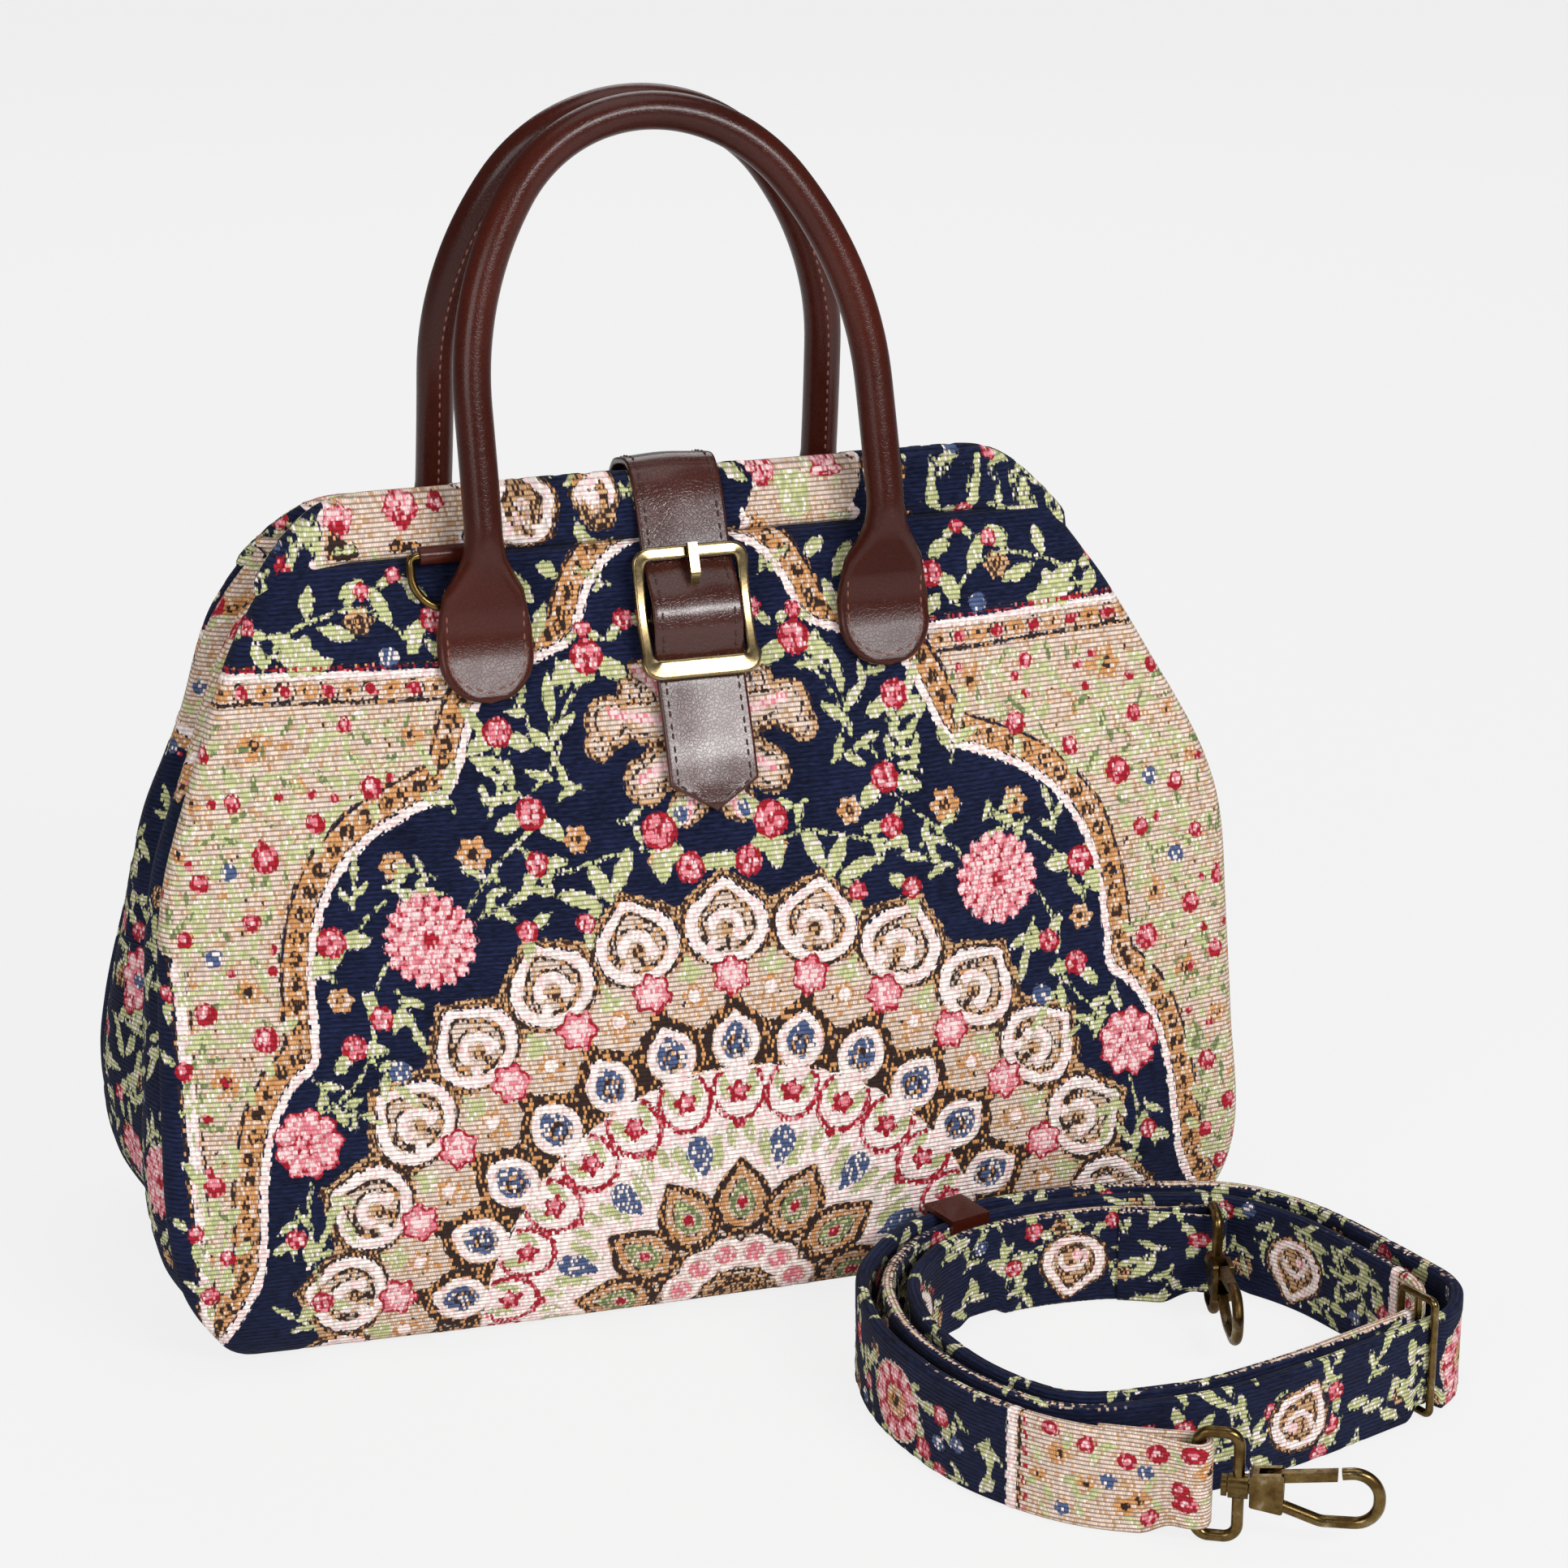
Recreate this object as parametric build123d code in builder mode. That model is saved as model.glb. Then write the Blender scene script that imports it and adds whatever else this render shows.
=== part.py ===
from build123d import *
import math
import os

# Carpet bag with rolled handles, a buckled closing strap and a shoulder strap coiled in front.
# Millimetres. Origin on the floor under the middle of the bag, +X to the right, -Y to the front, +Z up.

# Body of the bag, half sizes from its middle
bag_half_width = 175.0
panel_height = 237.0
seam_half_depth = 74.0
panel_crown = 20.0
tapestry = 3.0
seam_gap = 0.3
seam_inset = 1.0
gusset_fold = 24.0
gusset_swell = 3.0
board_thickness = 2.4
overrun = 200.0

# One row of shares for each height of the body, from the floor to the casing's seam
level_shares = (0, 0.017, 0.05, 0.118, 0.316, 0.506, 0.633, 0.802, 0.907, 1)
width_shares = (0.857, 0.897, 0.934, 0.983, 1, 1, 0.98, 0.88, 0.806, 0.72)
depth_shares = (0.838, 0.932, 0.986, 1, 0.865, 0.676, 0.581, 0.419, 0.338, 0.25)
crown_shares = (0.2, 0.25, 0.25, 0.35, 0.75, 1, 0.85, 0.425, 0.175, 0.05)
fold_shares = (0.05, 0.08, 0.12, 0.2, 0.4, 0.62, 0.75, 0.9, 0.97, 1)
swell_shares = (0, 0.3, 0.6, 1, 1, 1, 1, 0.8, 0.5, 0.2)
swell_place_share = 0.6

# Casings along the mouth, and the wires inside them
casing_height = 20.0
casing_thickness = 10.0
casing_top_radius = 5.0
mouth_gap = 2.3
casing_flat_half = 94.0
shoulder_width_share = 0.65
shoulder_height_share = 0.65
wire_radius = 2.0
wire_play = 0.3
wire_bend_share = 1.25
wire_run_half = 92.0
wire_end_run = 20.0
wire_run_share = 0.62
wire_end_share = 0.26

# Handles
tube_radius = 5.85
handle_half = 64.0
neck_rise = 11.0
neck_reach = 34.0
apex_rise = 121.0
apex_reach = 7.0
crown_share = 0.84375
crown_turn = 110.0
tab_width = 30.0
tab_thickness = 4.0
tab_corner = 1.9
tab_drop = 42.0
tab_flat = 22.0
tab_gap = 1.0
tab_blend_share = 0.55
tab_blend_width = 23.0
tab_blend_thickness = 7.0
neck_corner_share = 0.998
neck_share = 0.97

# Closing strap and its buckle
strap_x = 2.0
strap_width = 28.4
strap_leather = 2.8
strap_bend = 5.0
strap_tip_drop = 76.0
strap_point = 10.0
strap_rear_drop = 45.0
strap_over_casing = 3.4
buckle_drop = 21.0
buckle_half_length = 20.5
buckle_half_width = 18.2
buckle_bar = 4.2
buckle_rail = 3.0
buckle_depth = 3.6
buckle_corner = 3.0
buckle_reach = 8.5
bar_radius = 1.5
bar_reach = 4.6
chape_drop = 59.0
chape_leather = 1.7
chape_width = 26.0
chape_play = 0.3
tongue_width = 3.0
tongue_thickness = 2.2
tongue_play = 0.1
tongue_slot = 4.6
tongue_slot_length = 9.0
tongue_slot_place = 8.5

# Rings for the shoulder strap, held in leather loops beside the handles
ring_aside = 9.5
ring_rise = 3.0
ring_wire = 1.3
ring_half = 11.0
ring_corner = 2.5
ring_side = 3.0
ring_clear = 0.34
loop_leather = 1.5
loop_play = 0.05
loop_half = 8.0
loop_tail = 2.6

# Shoulder strap, wound on edge in front of the bag
coil_x = 95.0
coil_y = -165.0
coil_half_width = 111.0
coil_half_depth = 85.0
coil_pitch_share = 0.1
coil_shares = (
    (-0.405, -0.812), (-0.595, -0.447), (-0.685, 0.024), (-0.64, 0.482), (-0.423, 0.824),
    (-0.09, 0.953), (0.297, 0.93), (0.64, 0.8), (0.81, 0.506), (0.928, 0.06), (1, -0.25),
    (0.919, -0.47), (0.694, -0.576), (0.405, -0.718), (0.045, -0.847),
)
coil_points = 37
coil_start_share = (-0.099, -1.047)
coil_end_share = (0.463, 0.565)
webbing_width = 32.0
webbing = 3.6
bend_share = 0.45
fold_play = 0.35
notch_play = 0.4
notch_radius = 8.0

# Slider and leather keeper on the shoulder strap
slider_points = 11
slider_wire = 1.2
slider_mid_wire = 1.15
slider_height = 40.0
slider_corner = 2.0
keeper_points = 4
keeper_leather = 1.6
keeper_width = 14.0
keeper_play = 0.4
floor_play = 0.2

# Swivel snap hooks
eye_wire = 1.7
eye_reach = 12.0
eye_half = 16.4
eye_corner = 4.0
collar_radius = 3.6
collar_half = 2.8
stem_radius = 2.1
stem_play = 0.05
head_radius = 3.2
head_thickness = 1.6
head_play = 0.4
body_play = 0.5
cheek_length = 9.5
cheek_rise = 6.0
cheek_drop = 5.0
cheek_foot = 6.6
cheek_thickness = 6.6
cheek_round = 0.8
gate_slot = 3.4
gate_slot_start = 2.4
gate_slot_floor = 3.6
hook_wire = 1.75
hook_length = 38.0
hook_root = 3.0
hook_root_drop = 3.0
hook_belly = 20.0
hook_belly_drop = 8.8
hook_nose_drop = 8.2
hook_nose_rise = 8.2
hook_mouth = 25.6
hook_mouth_rise = 6.6
hook_nose_bend = 7.2
pin_radius = 1.0
pin_play = 0.05
pin_along = 5.6
pin_rise = 1.4
gate_ear = 2.5
gate_thickness = 2.8
gate_bar = 3.0
gate_gap = 1.2
gate_start = 8.6
gate_start_rise = 4.2
gate_end_rise = 6.2
hook_a_heading = -28.0
hook_b_heading = -103.5

os.makedirs("parts", exist_ok=True)


def write(builder, name):
    """Label a finished piece and write its STEP file."""
    builder.part.label = name
    export_step(builder.part, f"parts/{name}.step")


def levels():
    """Height, half width, seam depth, crown, fold and swell of each section of the body."""
    rows = zip(level_shares, width_shares, depth_shares, crown_shares, fold_shares, swell_shares)
    for level, width, depth, crown, fold, swell in rows:
        yield (level * panel_height, width * bag_half_width, depth * seam_half_depth,
               crown * panel_crown, fold * gusset_fold, swell * gusset_swell)


# Front and rear panels: crowned sheets from the floor to the casing's seam
with BuildPart() as front_panel:
    for z, half, depth, crown, fold, swell in levels():
        inner = depth - tapestry
        with BuildSketch(Plane.XY.offset(z)):
            with BuildLine():
                ThreePointArc((-half, -depth), (0, -depth - crown), (half, -depth))
                Line((half, -depth), (half, -inner))
                ThreePointArc((half, -inner), (0, -inner - crown), (-half, -inner))
                Line((-half, -inner), (-half, -depth))
            make_face()
    loft()
write(front_panel, "front_panel")

with BuildPart() as rear_panel:
    mirror(front_panel.part, about=Plane.XZ)
write(rear_panel, "rear_panel")


def panel_reach(x, z):
    """How far the outer face of the front panel stands in front of the bag's middle at x and z."""
    sight = Axis((x, -overrun, z), (0, 1, 0))
    return -min(point.Y for point, normal in front_panel.part.find_intersection_points(sight))


# Gussets: side sheets that swell at their seams and fold in along the middle
with BuildPart() as right_gusset:
    for z, half, depth, crown, fold, swell in levels():
        seam = depth - tapestry - 2 * seam_gap
        edge = half - seam_inset
        outer = ((edge, -seam), (edge + swell, -seam * swell_place_share), (half - fold, 0),
                 (edge + swell, seam * swell_place_share), (edge, seam))
        inner = [(x - tapestry, y) for x, y in reversed(outer)]
        with BuildSketch(Plane.XY.offset(z)):
            with BuildLine():
                Spline(*outer)
                Line(outer[-1], inner[0])
                Spline(*inner)
                Line(inner[-1], outer[0])
            make_face()
    loft()
write(right_gusset, "right_gusset")

with BuildPart() as left_gusset:
    mirror(right_gusset.part, about=Plane.YZ)
write(left_gusset, "left_gusset")

# Base panel between the sheets, and the board on it
base_half = width_shares[0] * bag_half_width - seam_inset - tapestry - seam_gap - fold_shares[0] * gusset_fold
base_depth = depth_shares[0] * seam_half_depth - tapestry - seam_gap
base_crown = crown_shares[0] * panel_crown


def base_outline():
    """Plan of the base: straight ends, and long sides that follow the panels."""
    with BuildLine() as outline:
        ThreePointArc((-base_half, -base_depth), (0, -base_depth - base_crown), (base_half, -base_depth))
        Line((base_half, -base_depth), (base_half, base_depth))
        ThreePointArc((base_half, base_depth), (0, base_depth + base_crown), (-base_half, base_depth))
        Line((-base_half, base_depth), (-base_half, -base_depth))
    make_face(outline.edges())


with BuildPart() as base_panel:
    with BuildSketch():
        base_outline()
    extrude(amount=tapestry)
write(base_panel, "base_panel")

with BuildPart() as base_board:
    with BuildSketch(Plane.XY.offset(tapestry)):
        base_outline()
    extrude(amount=board_thickness)
write(base_board, "base_board")

# Casings: leaning bands with a round top, each with a tunnel for its wire
casing_bottom = panel_height + seam_gap
casing_top = casing_bottom + casing_height
casing_front = depth_shares[-1] * seam_half_depth + crown_shares[-1] * panel_crown
casing_half = width_shares[-1] * bag_half_width
top_middle = mouth_gap + casing_top_radius
low_middle = casing_front - casing_thickness / 2
top_spring = casing_top - casing_top_radius
casing_rise = Vector(0, low_middle - top_middle, top_spring - casing_bottom)
casing_plane = Plane(
    origin=(0, -low_middle, casing_bottom),
    x_dir=(1, 0, 0),
    z_dir=Vector(1, 0, 0).cross(casing_rise),
)
wire_run = wire_run_share * casing_height
wire_end = wire_end_share * casing_height
wire_end_half = wire_run_half + wire_end_run
wire_bend = wire_bend_share * wire_end_run


def wire_tunnel(radius, extra, mode):
    """Round bar along the wire's path in the casing, lengthened at both ends by extra."""
    slope = Vector(wire_end_run, wire_end - wire_run).normalized() * extra
    end_x = wire_end_half + slope.X
    end_y = wire_end + slope.Y
    with BuildLine(casing_plane) as path:
        FilletPolyline(
            (-end_x, end_y), (-wire_run_half, wire_run), (wire_run_half, wire_run), (end_x, end_y),
            radius=wire_bend,
        )
    with BuildSketch(Plane(origin=path.line @ 0, z_dir=path.line % 0)) as section:
        Circle(radius)
    sweep(section.sketch, path=path.line, mode=mode)


with BuildPart() as front_casing:
    with BuildSketch(Plane.YZ):
        with BuildLine():
            Polyline(
                (-top_middle + casing_top_radius, top_spring),
                (-casing_front + casing_thickness, casing_bottom),
                (-casing_front, casing_bottom),
                (-top_middle - casing_top_radius, top_spring),
            )
            ThreePointArc(
                (-top_middle - casing_top_radius, top_spring),
                (-top_middle, casing_top),
                (-top_middle + casing_top_radius, top_spring),
            )
        make_face()
    extrude(amount=casing_half, both=True)
    shoulder_x = casing_flat_half + (casing_half - casing_flat_half) * shoulder_width_share
    shoulder_z = casing_bottom + casing_height * shoulder_height_share
    with BuildSketch(Plane.XZ):
        with BuildLine():
            ThreePointArc(
                (casing_half, casing_bottom), (shoulder_x, shoulder_z), (casing_flat_half, casing_top)
            )
            Line((casing_flat_half, casing_top), (-casing_flat_half, casing_top))
            ThreePointArc(
                (-casing_flat_half, casing_top), (-shoulder_x, shoulder_z), (-casing_half, casing_bottom)
            )
            Line((-casing_half, casing_bottom), (casing_half, casing_bottom))
        make_face()
    extrude(amount=overrun, both=True, mode=Mode.INTERSECT)
    wire_tunnel(wire_radius + wire_play, wire_play, Mode.SUBTRACT)
write(front_casing, "front_casing")

with BuildPart() as rear_casing:
    mirror(front_casing.part, about=Plane.XZ)
write(rear_casing, "rear_casing")

with BuildPart() as front_frame_wire:
    wire_tunnel(wire_radius, 0, Mode.ADD)
write(front_frame_wire, "front_frame_wire")

with BuildPart() as rear_frame_wire:
    mirror(front_frame_wire.part, about=Plane.XZ)
write(rear_frame_wire, "rear_frame_wire")

# Handles: a rolled tube on a leaning plane, blended into two flat tabs on the panel
neck_height = panel_height + neck_rise
tab_bottom = panel_height - tab_drop
crown_radius = crown_share * handle_half
handle_rise = Vector(0, neck_reach - apex_reach, apex_rise)
handle_plane = Plane(
    origin=(0, -neck_reach, neck_height), x_dir=(1, 0, 0), z_dir=Vector(1, 0, 0).cross(handle_rise)
)
side_turn = (180 - crown_turn) / 2
side_cos = math.cos(math.radians(side_turn))
side_sin = math.sin(math.radians(side_turn))
side_radius = (handle_half - crown_radius * side_cos) / (1 - side_cos)
leg_length = handle_rise.length - side_radius * side_sin - crown_radius * (1 - side_sin)
neck_radius = neck_share * tube_radius
tab_face = panel_reach(handle_half, tab_bottom)
tab_rise = Vector(0, tab_face - panel_reach(handle_half, tab_bottom + tab_flat), tab_flat).normalized()
tab_out = Vector(0, -tab_rise.Z, tab_rise.Y)
tab_root = Vector(0, -tab_face, tab_bottom) + tab_out * tab_gap

with BuildPart() as front_handle:
    with BuildLine(handle_plane) as roll:
        left_leg = Line((-handle_half, 0), (-handle_half, leg_length))
        left_side = JernArc(left_leg @ 1, left_leg % 1, side_radius, -side_turn)
        crown_arc = JernArc(left_side @ 1, left_side % 1, crown_radius, -crown_turn)
        right_side = JernArc(crown_arc @ 1, crown_arc % 1, side_radius, -side_turn)
        Line(right_side @ 1, (handle_half, 0))
    with BuildSketch(Plane(origin=roll.line @ 0, x_dir=(1, 0, 0), z_dir=roll.line % 0)):
        Circle(tube_radius)
    sweep(path=roll.line)
    for side in (-1, 1):
        across = Vector(side * handle_half, 0, 0)
        with BuildSketch(Plane(origin=tab_root + across, x_dir=(1, 0, 0), z_dir=tab_out)):
            with Locations((0, tab_width / 2)):
                Circle(tab_width / 2)
            with Locations((0, (tab_width / 2 + tab_flat) / 2)):
                Rectangle(tab_width, tab_flat - tab_width / 2)
        extrude(amount=tab_thickness)
        flat_end = tab_root + across + tab_rise * tab_flat + tab_out * (tab_thickness / 2)
        neck = handle_plane.from_local_coords((side * handle_half, 0, 0))
        neck_up = handle_rise.normalized()
        blend = flat_end + (neck - flat_end) * tab_blend_share
        blend_up = (tab_rise + neck_up).normalized()
        with BuildSketch(Plane(origin=flat_end, x_dir=(1, 0, 0), z_dir=tab_rise)):
            RectangleRounded(tab_width, tab_thickness, tab_corner)
        with BuildSketch(Plane(origin=blend, x_dir=(1, 0, 0), z_dir=blend_up)):
            RectangleRounded(tab_blend_width, tab_blend_thickness, tab_blend_thickness / 2 * neck_corner_share)
        with BuildSketch(Plane(origin=neck, x_dir=(1, 0, 0), z_dir=neck_up)):
            RectangleRounded(2 * neck_radius, 2 * neck_radius, neck_radius * neck_corner_share)
        loft()
write(front_handle, "front_handle")

with BuildPart() as rear_handle:
    mirror(front_handle.part, about=Plane.XZ)
write(rear_handle, "rear_handle")

# Buckle: its plane lies on the panel from the chape's end to the top bar
buckle_height = panel_height - buckle_drop
chape_end = panel_height - chape_drop
chape_face = panel_reach(strap_x, chape_end)
buckle_rise = Vector(
    0, chape_face - panel_reach(strap_x, panel_height), panel_height - chape_end
).normalized()
buckle_out = Vector(0, -buckle_rise.Z, buckle_rise.Y)
chape_length = (buckle_height - chape_end) / buckle_rise.Z
buckle_origin = Vector(strap_x, -chape_face, chape_end) + buckle_rise * chape_length + buckle_out * seam_gap
buckle_face = Plane(origin=buckle_origin, x_dir=(1, 0, 0), z_dir=buckle_out)
buckle_side = Plane(origin=buckle_origin, x_dir=buckle_rise, z_dir=Vector(1, 0, 0))
half_depth = buckle_depth / 2
inner_length = buckle_half_length - buckle_bar
inner_width = buckle_half_width - buckle_rail

with BuildPart() as buckle_frame:
    with BuildSketch(buckle_face):
        RectangleRounded(2 * buckle_half_width, 2 * buckle_half_length, buckle_corner)
        Rectangle(2 * inner_width, 2 * inner_length, mode=Mode.SUBTRACT)
    extrude(amount=overrun / 2, both=True)
    with BuildSketch(buckle_side):
        with BuildLine():
            ThreePointArc(
                (-buckle_half_length, buckle_reach - half_depth),
                (0, bar_reach - half_depth),
                (buckle_half_length, buckle_reach - half_depth),
            )
            Line(
                (buckle_half_length, buckle_reach - half_depth),
                (buckle_half_length, buckle_reach + half_depth),
            )
            ThreePointArc(
                (buckle_half_length, buckle_reach + half_depth),
                (0, bar_reach + half_depth),
                (-buckle_half_length, buckle_reach + half_depth),
            )
            Line(
                (-buckle_half_length, buckle_reach + half_depth),
                (-buckle_half_length, buckle_reach - half_depth),
            )
        make_face()
    extrude(amount=overrun / 2, both=True, mode=Mode.INTERSECT)
    with BuildSketch(buckle_side):
        with Locations((0, bar_reach)):
            Circle(bar_radius)
    extrude(amount=inner_width + buckle_rail / 2, both=True)
write(buckle_frame, "buckle_frame")

# Chape: leather sewn to the panel, wrapped round the centre bar and slotted for the tongue
chape_inner = bar_radius + chape_play
chape_outer = chape_inner + chape_leather
chape_layer = chape_leather
with BuildPart() as buckle_chape:
    with BuildSketch(buckle_side):
        with Locations((0, bar_reach)):
            Circle(chape_outer)
        with Locations((-chape_length / 2, chape_layer / 2)):
            Rectangle(chape_length, chape_layer)
        with Locations((0, bar_reach)):
            Circle(chape_inner, mode=Mode.SUBTRACT)
    extrude(amount=chape_width / 2, both=True)
    with BuildSketch(buckle_side):
        with Locations((0, bar_reach + chape_inner - chape_leather)):
            Rectangle(4 * chape_outer, 2 * chape_inner + 2 * chape_leather)
    extrude(amount=tongue_slot / 2, both=True, mode=Mode.SUBTRACT)
write(buckle_chape, "buckle_chape")

# Tongue: an eye round the centre bar and a bent prong that rests on the top bar
prong_rest = buckle_reach + half_depth + tongue_play + tongue_thickness / 2
tongue_eye = bar_radius + tongue_play
tongue_route = (
    (tongue_eye + tongue_thickness / 2, bar_reach),
    (tongue_slot_place - tongue_slot_length / 4, bar_reach + tongue_thickness / 2),
    (tongue_slot_place + tongue_slot_length / 4, prong_rest),
    (buckle_half_length, prong_rest),
)
with BuildPart() as buckle_tongue:
    with BuildSketch(buckle_side):
        with BuildLine() as prong:
            FilletPolyline(*tongue_route, radius=tongue_thickness / 2)
        trace(prong.line, line_width=tongue_thickness)
        with Locations((0, bar_reach)):
            Circle(tongue_eye + tongue_thickness / 2)
            Circle(tongue_eye, mode=Mode.SUBTRACT)
    extrude(amount=tongue_width / 2, both=True)
write(buckle_tongue, "buckle_tongue")


# Closing strap: sewn to the rear panel, over the mouth and through the buckle
def off_buckle(along, off):
    """Point of the strap's middle line in the middle plane, from the buckle's own measures."""
    spot = buckle_origin + buckle_rise * along + buckle_out * off
    return (spot.Y, spot.Z)


half_leather = strap_leather / 2
strap_tip = panel_height - strap_tip_drop
strap_rear_end = panel_height - strap_rear_drop
bar_sag = (buckle_reach - bar_reach) * (inner_length / buckle_half_length) ** 2
under_bar = bar_reach + bar_sag - half_depth - seam_gap - half_leather
over_chape = bar_reach + chape_outer + seam_gap + half_leather
lean = casing_front - top_middle - casing_top_radius
casing_cosine = casing_height / math.hypot(casing_height, lean)
on_casing = strap_over_casing / casing_cosine
strap_front = [
    (-top_middle - half_leather, casing_top + strap_over_casing),
    (-top_middle - casing_top_radius - on_casing, top_spring),
    off_buckle(buckle_half_length, under_bar),
    off_buckle(inner_length - half_leather, under_bar),
    off_buckle(chape_outer + half_leather, over_chape - half_leather / 2),
    off_buckle(0, over_chape),
    off_buckle(-chape_outer - half_leather, over_chape - half_leather / 2),
    off_buckle(-inner_length + half_leather, under_bar),
    off_buckle(-buckle_half_length, under_bar),
    (-panel_reach(strap_x, chape_end) - 2 * strap_leather, chape_end),
    (-panel_reach(strap_x, strap_tip) - strap_leather, strap_tip),
]
strap_rear = [
    (panel_reach(strap_x, strap_rear_end) + strap_leather, strap_rear_end),
    (panel_reach(strap_x, buckle_height) + strap_leather, buckle_height),
    (casing_front + on_casing, casing_bottom),
    (top_middle + casing_top_radius + on_casing, top_spring),
    (top_middle + half_leather, casing_top + strap_over_casing),
]
with BuildPart() as closing_strap:
    with BuildLine(Plane.YZ.offset(strap_x)) as route:
        FilletPolyline(*strap_rear, *strap_front, radius=strap_bend)
    with BuildSketch(Plane(origin=route.line @ 0, x_dir=(1, 0, 0), z_dir=route.line % 0)):
        Rectangle(strap_width, strap_leather)
    sweep(path=route.line)
    with BuildSketch(Plane.XZ):
        for side in (-1, 1):
            with BuildLine():
                Polyline(
                    (strap_x, strap_tip - strap_point),
                    (strap_x, strap_tip),
                    (strap_x + side * strap_width / 2, strap_tip + strap_point),
                    (strap_x + side * strap_width, strap_tip - strap_point),
                    close=True,
                )
            make_face()
    extrude(amount=overrun, both=True, mode=Mode.SUBTRACT)
    with BuildSketch(buckle_face):
        with Locations((0, tongue_slot_place)):
            SlotOverall(tongue_slot_length, tongue_slot, rotation=90)
    extrude(amount=overrun / 10, mode=Mode.SUBTRACT)
write(closing_strap, "closing_strap")

# D rings: the front one left of the middle, the rear one opposite, each in a leather loop
loop_inner = ring_wire + loop_play
loop_outer = loop_inner + loop_leather
ring_x = handle_half + ring_aside
ring_reach = panel_reach(ring_x, panel_height) + seam_gap + loop_outer
ring_height = panel_height + ring_rise
ring_length = ring_corner + ring_side + ring_half
ring_rest = panel_reach(ring_x, ring_height - ring_length) + ring_wire + ring_clear
ring_centre = Vector(-ring_x, -ring_reach, ring_height)
hang = math.atan((ring_rest - ring_reach) / ring_length)
ring_plane = Plane(origin=ring_centre, x_dir=(1, 0, 0), z_dir=(0, -math.cos(hang), math.sin(hang)))
ring_side_plane = Plane(origin=ring_centre, x_dir=(0, 1, 0), z_dir=(1, 0, 0))

with BuildPart() as front_ring_loop:
    with BuildSketch(ring_side_plane):
        Circle(loop_outer)
        with Locations((loop_outer / 2, 0)):
            Rectangle(loop_outer, loop_tail)
        Circle(loop_inner, mode=Mode.SUBTRACT)
    extrude(amount=loop_half, both=True)
write(front_ring_loop, "front_ring_loop")

with BuildPart() as rear_ring_loop:
    add(front_ring_loop.part.rotate(Axis.Z, 180))
write(rear_ring_loop, "rear_ring_loop")

with BuildPart() as front_d_ring:
    with BuildLine(ring_plane) as ring_path:
        bar_line = Line((-ring_half + ring_corner, 0), (ring_half - ring_corner, 0))
        near = JernArc(bar_line @ 1, (1, 0), ring_corner, -90)
        right_line = Line((ring_half, -ring_corner), (ring_half, -ring_corner - ring_side))
        bow = CenterArc((0, -ring_corner - ring_side), ring_half, 180, 180)
        left_line = Line((-ring_half, -ring_corner - ring_side), (-ring_half, -ring_corner))
        far = CenterArc((-ring_half + ring_corner, -ring_corner), ring_corner, 90, 90)
    with BuildSketch(Plane(origin=bar_line @ 0.5, z_dir=(1, 0, 0))):
        Circle(ring_wire)
    sweep(path=ring_path.wire())
write(front_d_ring, "front_d_ring")

with BuildPart() as rear_d_ring:
    add(front_d_ring.part.rotate(Axis.Z, 180))
write(rear_d_ring, "rear_d_ring")


# Shoulder strap: one long band on edge, wound inwards turn by turn
def coil_point(share, turn):
    """Point in plan of the coil's outline, drawn in towards its middle by the turns wound so far."""
    scale = 1 - coil_pitch_share * turn
    return Vector(
        coil_x + share[0] * coil_half_width * scale, coil_y + share[1] * coil_half_depth * scale
    )


round_points = len(coil_shares)
coil_route = [coil_point(coil_start_share, 0)]
coil_route += [coil_point(coil_shares[i % round_points], i / round_points) for i in range(coil_points)]
coil_route.append(coil_point(coil_end_share, 0))


def bend_radius(before, corner, after):
    """Largest tangent arc that the two runs beside a corner leave room for."""
    turn = math.radians((corner - before).get_angle(after - corner))
    run = min((corner - before).length, (after - corner).length)
    return bend_share * run / math.tan(turn / 2)


coil_radii = [bend_radius(*coil_route[i - 1:i + 2]) for i in range(1, len(coil_route) - 1)]
start_bar = coil_route[0]
end_bar = coil_route[-1]
fold_inner = eye_wire + fold_play
fold_outer = fold_inner + webbing
eye_height = floor_play + eye_wire + eye_half
slider_spots = [
    (coil_route[slider_points + turn * round_points + 1] + coil_route[slider_points + turn * round_points + 2]) / 2
    for turn in range(2)
]
slider_run = (coil_route[slider_points + 2] - coil_route[slider_points + 1]).normalized()
slider_across = Vector(-slider_run.Y, slider_run.X)
slider_step = abs((slider_spots[1] - slider_spots[0]).dot(slider_across))
slider_outside = 1 if (slider_spots[0] - slider_spots[1]).dot(slider_across) > 0 else -1
keeper_spots = [
    (coil_route[keeper_points + turn * round_points + 1] + coil_route[keeper_points + turn * round_points + 2]) / 2
    for turn in range(2)
]
keeper_run = (coil_route[keeper_points + 2] - coil_route[keeper_points + 1]).normalized()
keeper_across = Vector(-keeper_run.Y, keeper_run.X)
keeper_step = abs((keeper_spots[1] - keeper_spots[0]).dot(keeper_across))
keeper_middle = (keeper_spots[0] + keeper_spots[1]) / 2
eye_notch = floor_play + 2 * eye_wire + eye_corner / 4
slider_notch = floor_play + slider_wire + slider_corner + notch_play
keeper_notch = keeper_leather + notch_play

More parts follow.
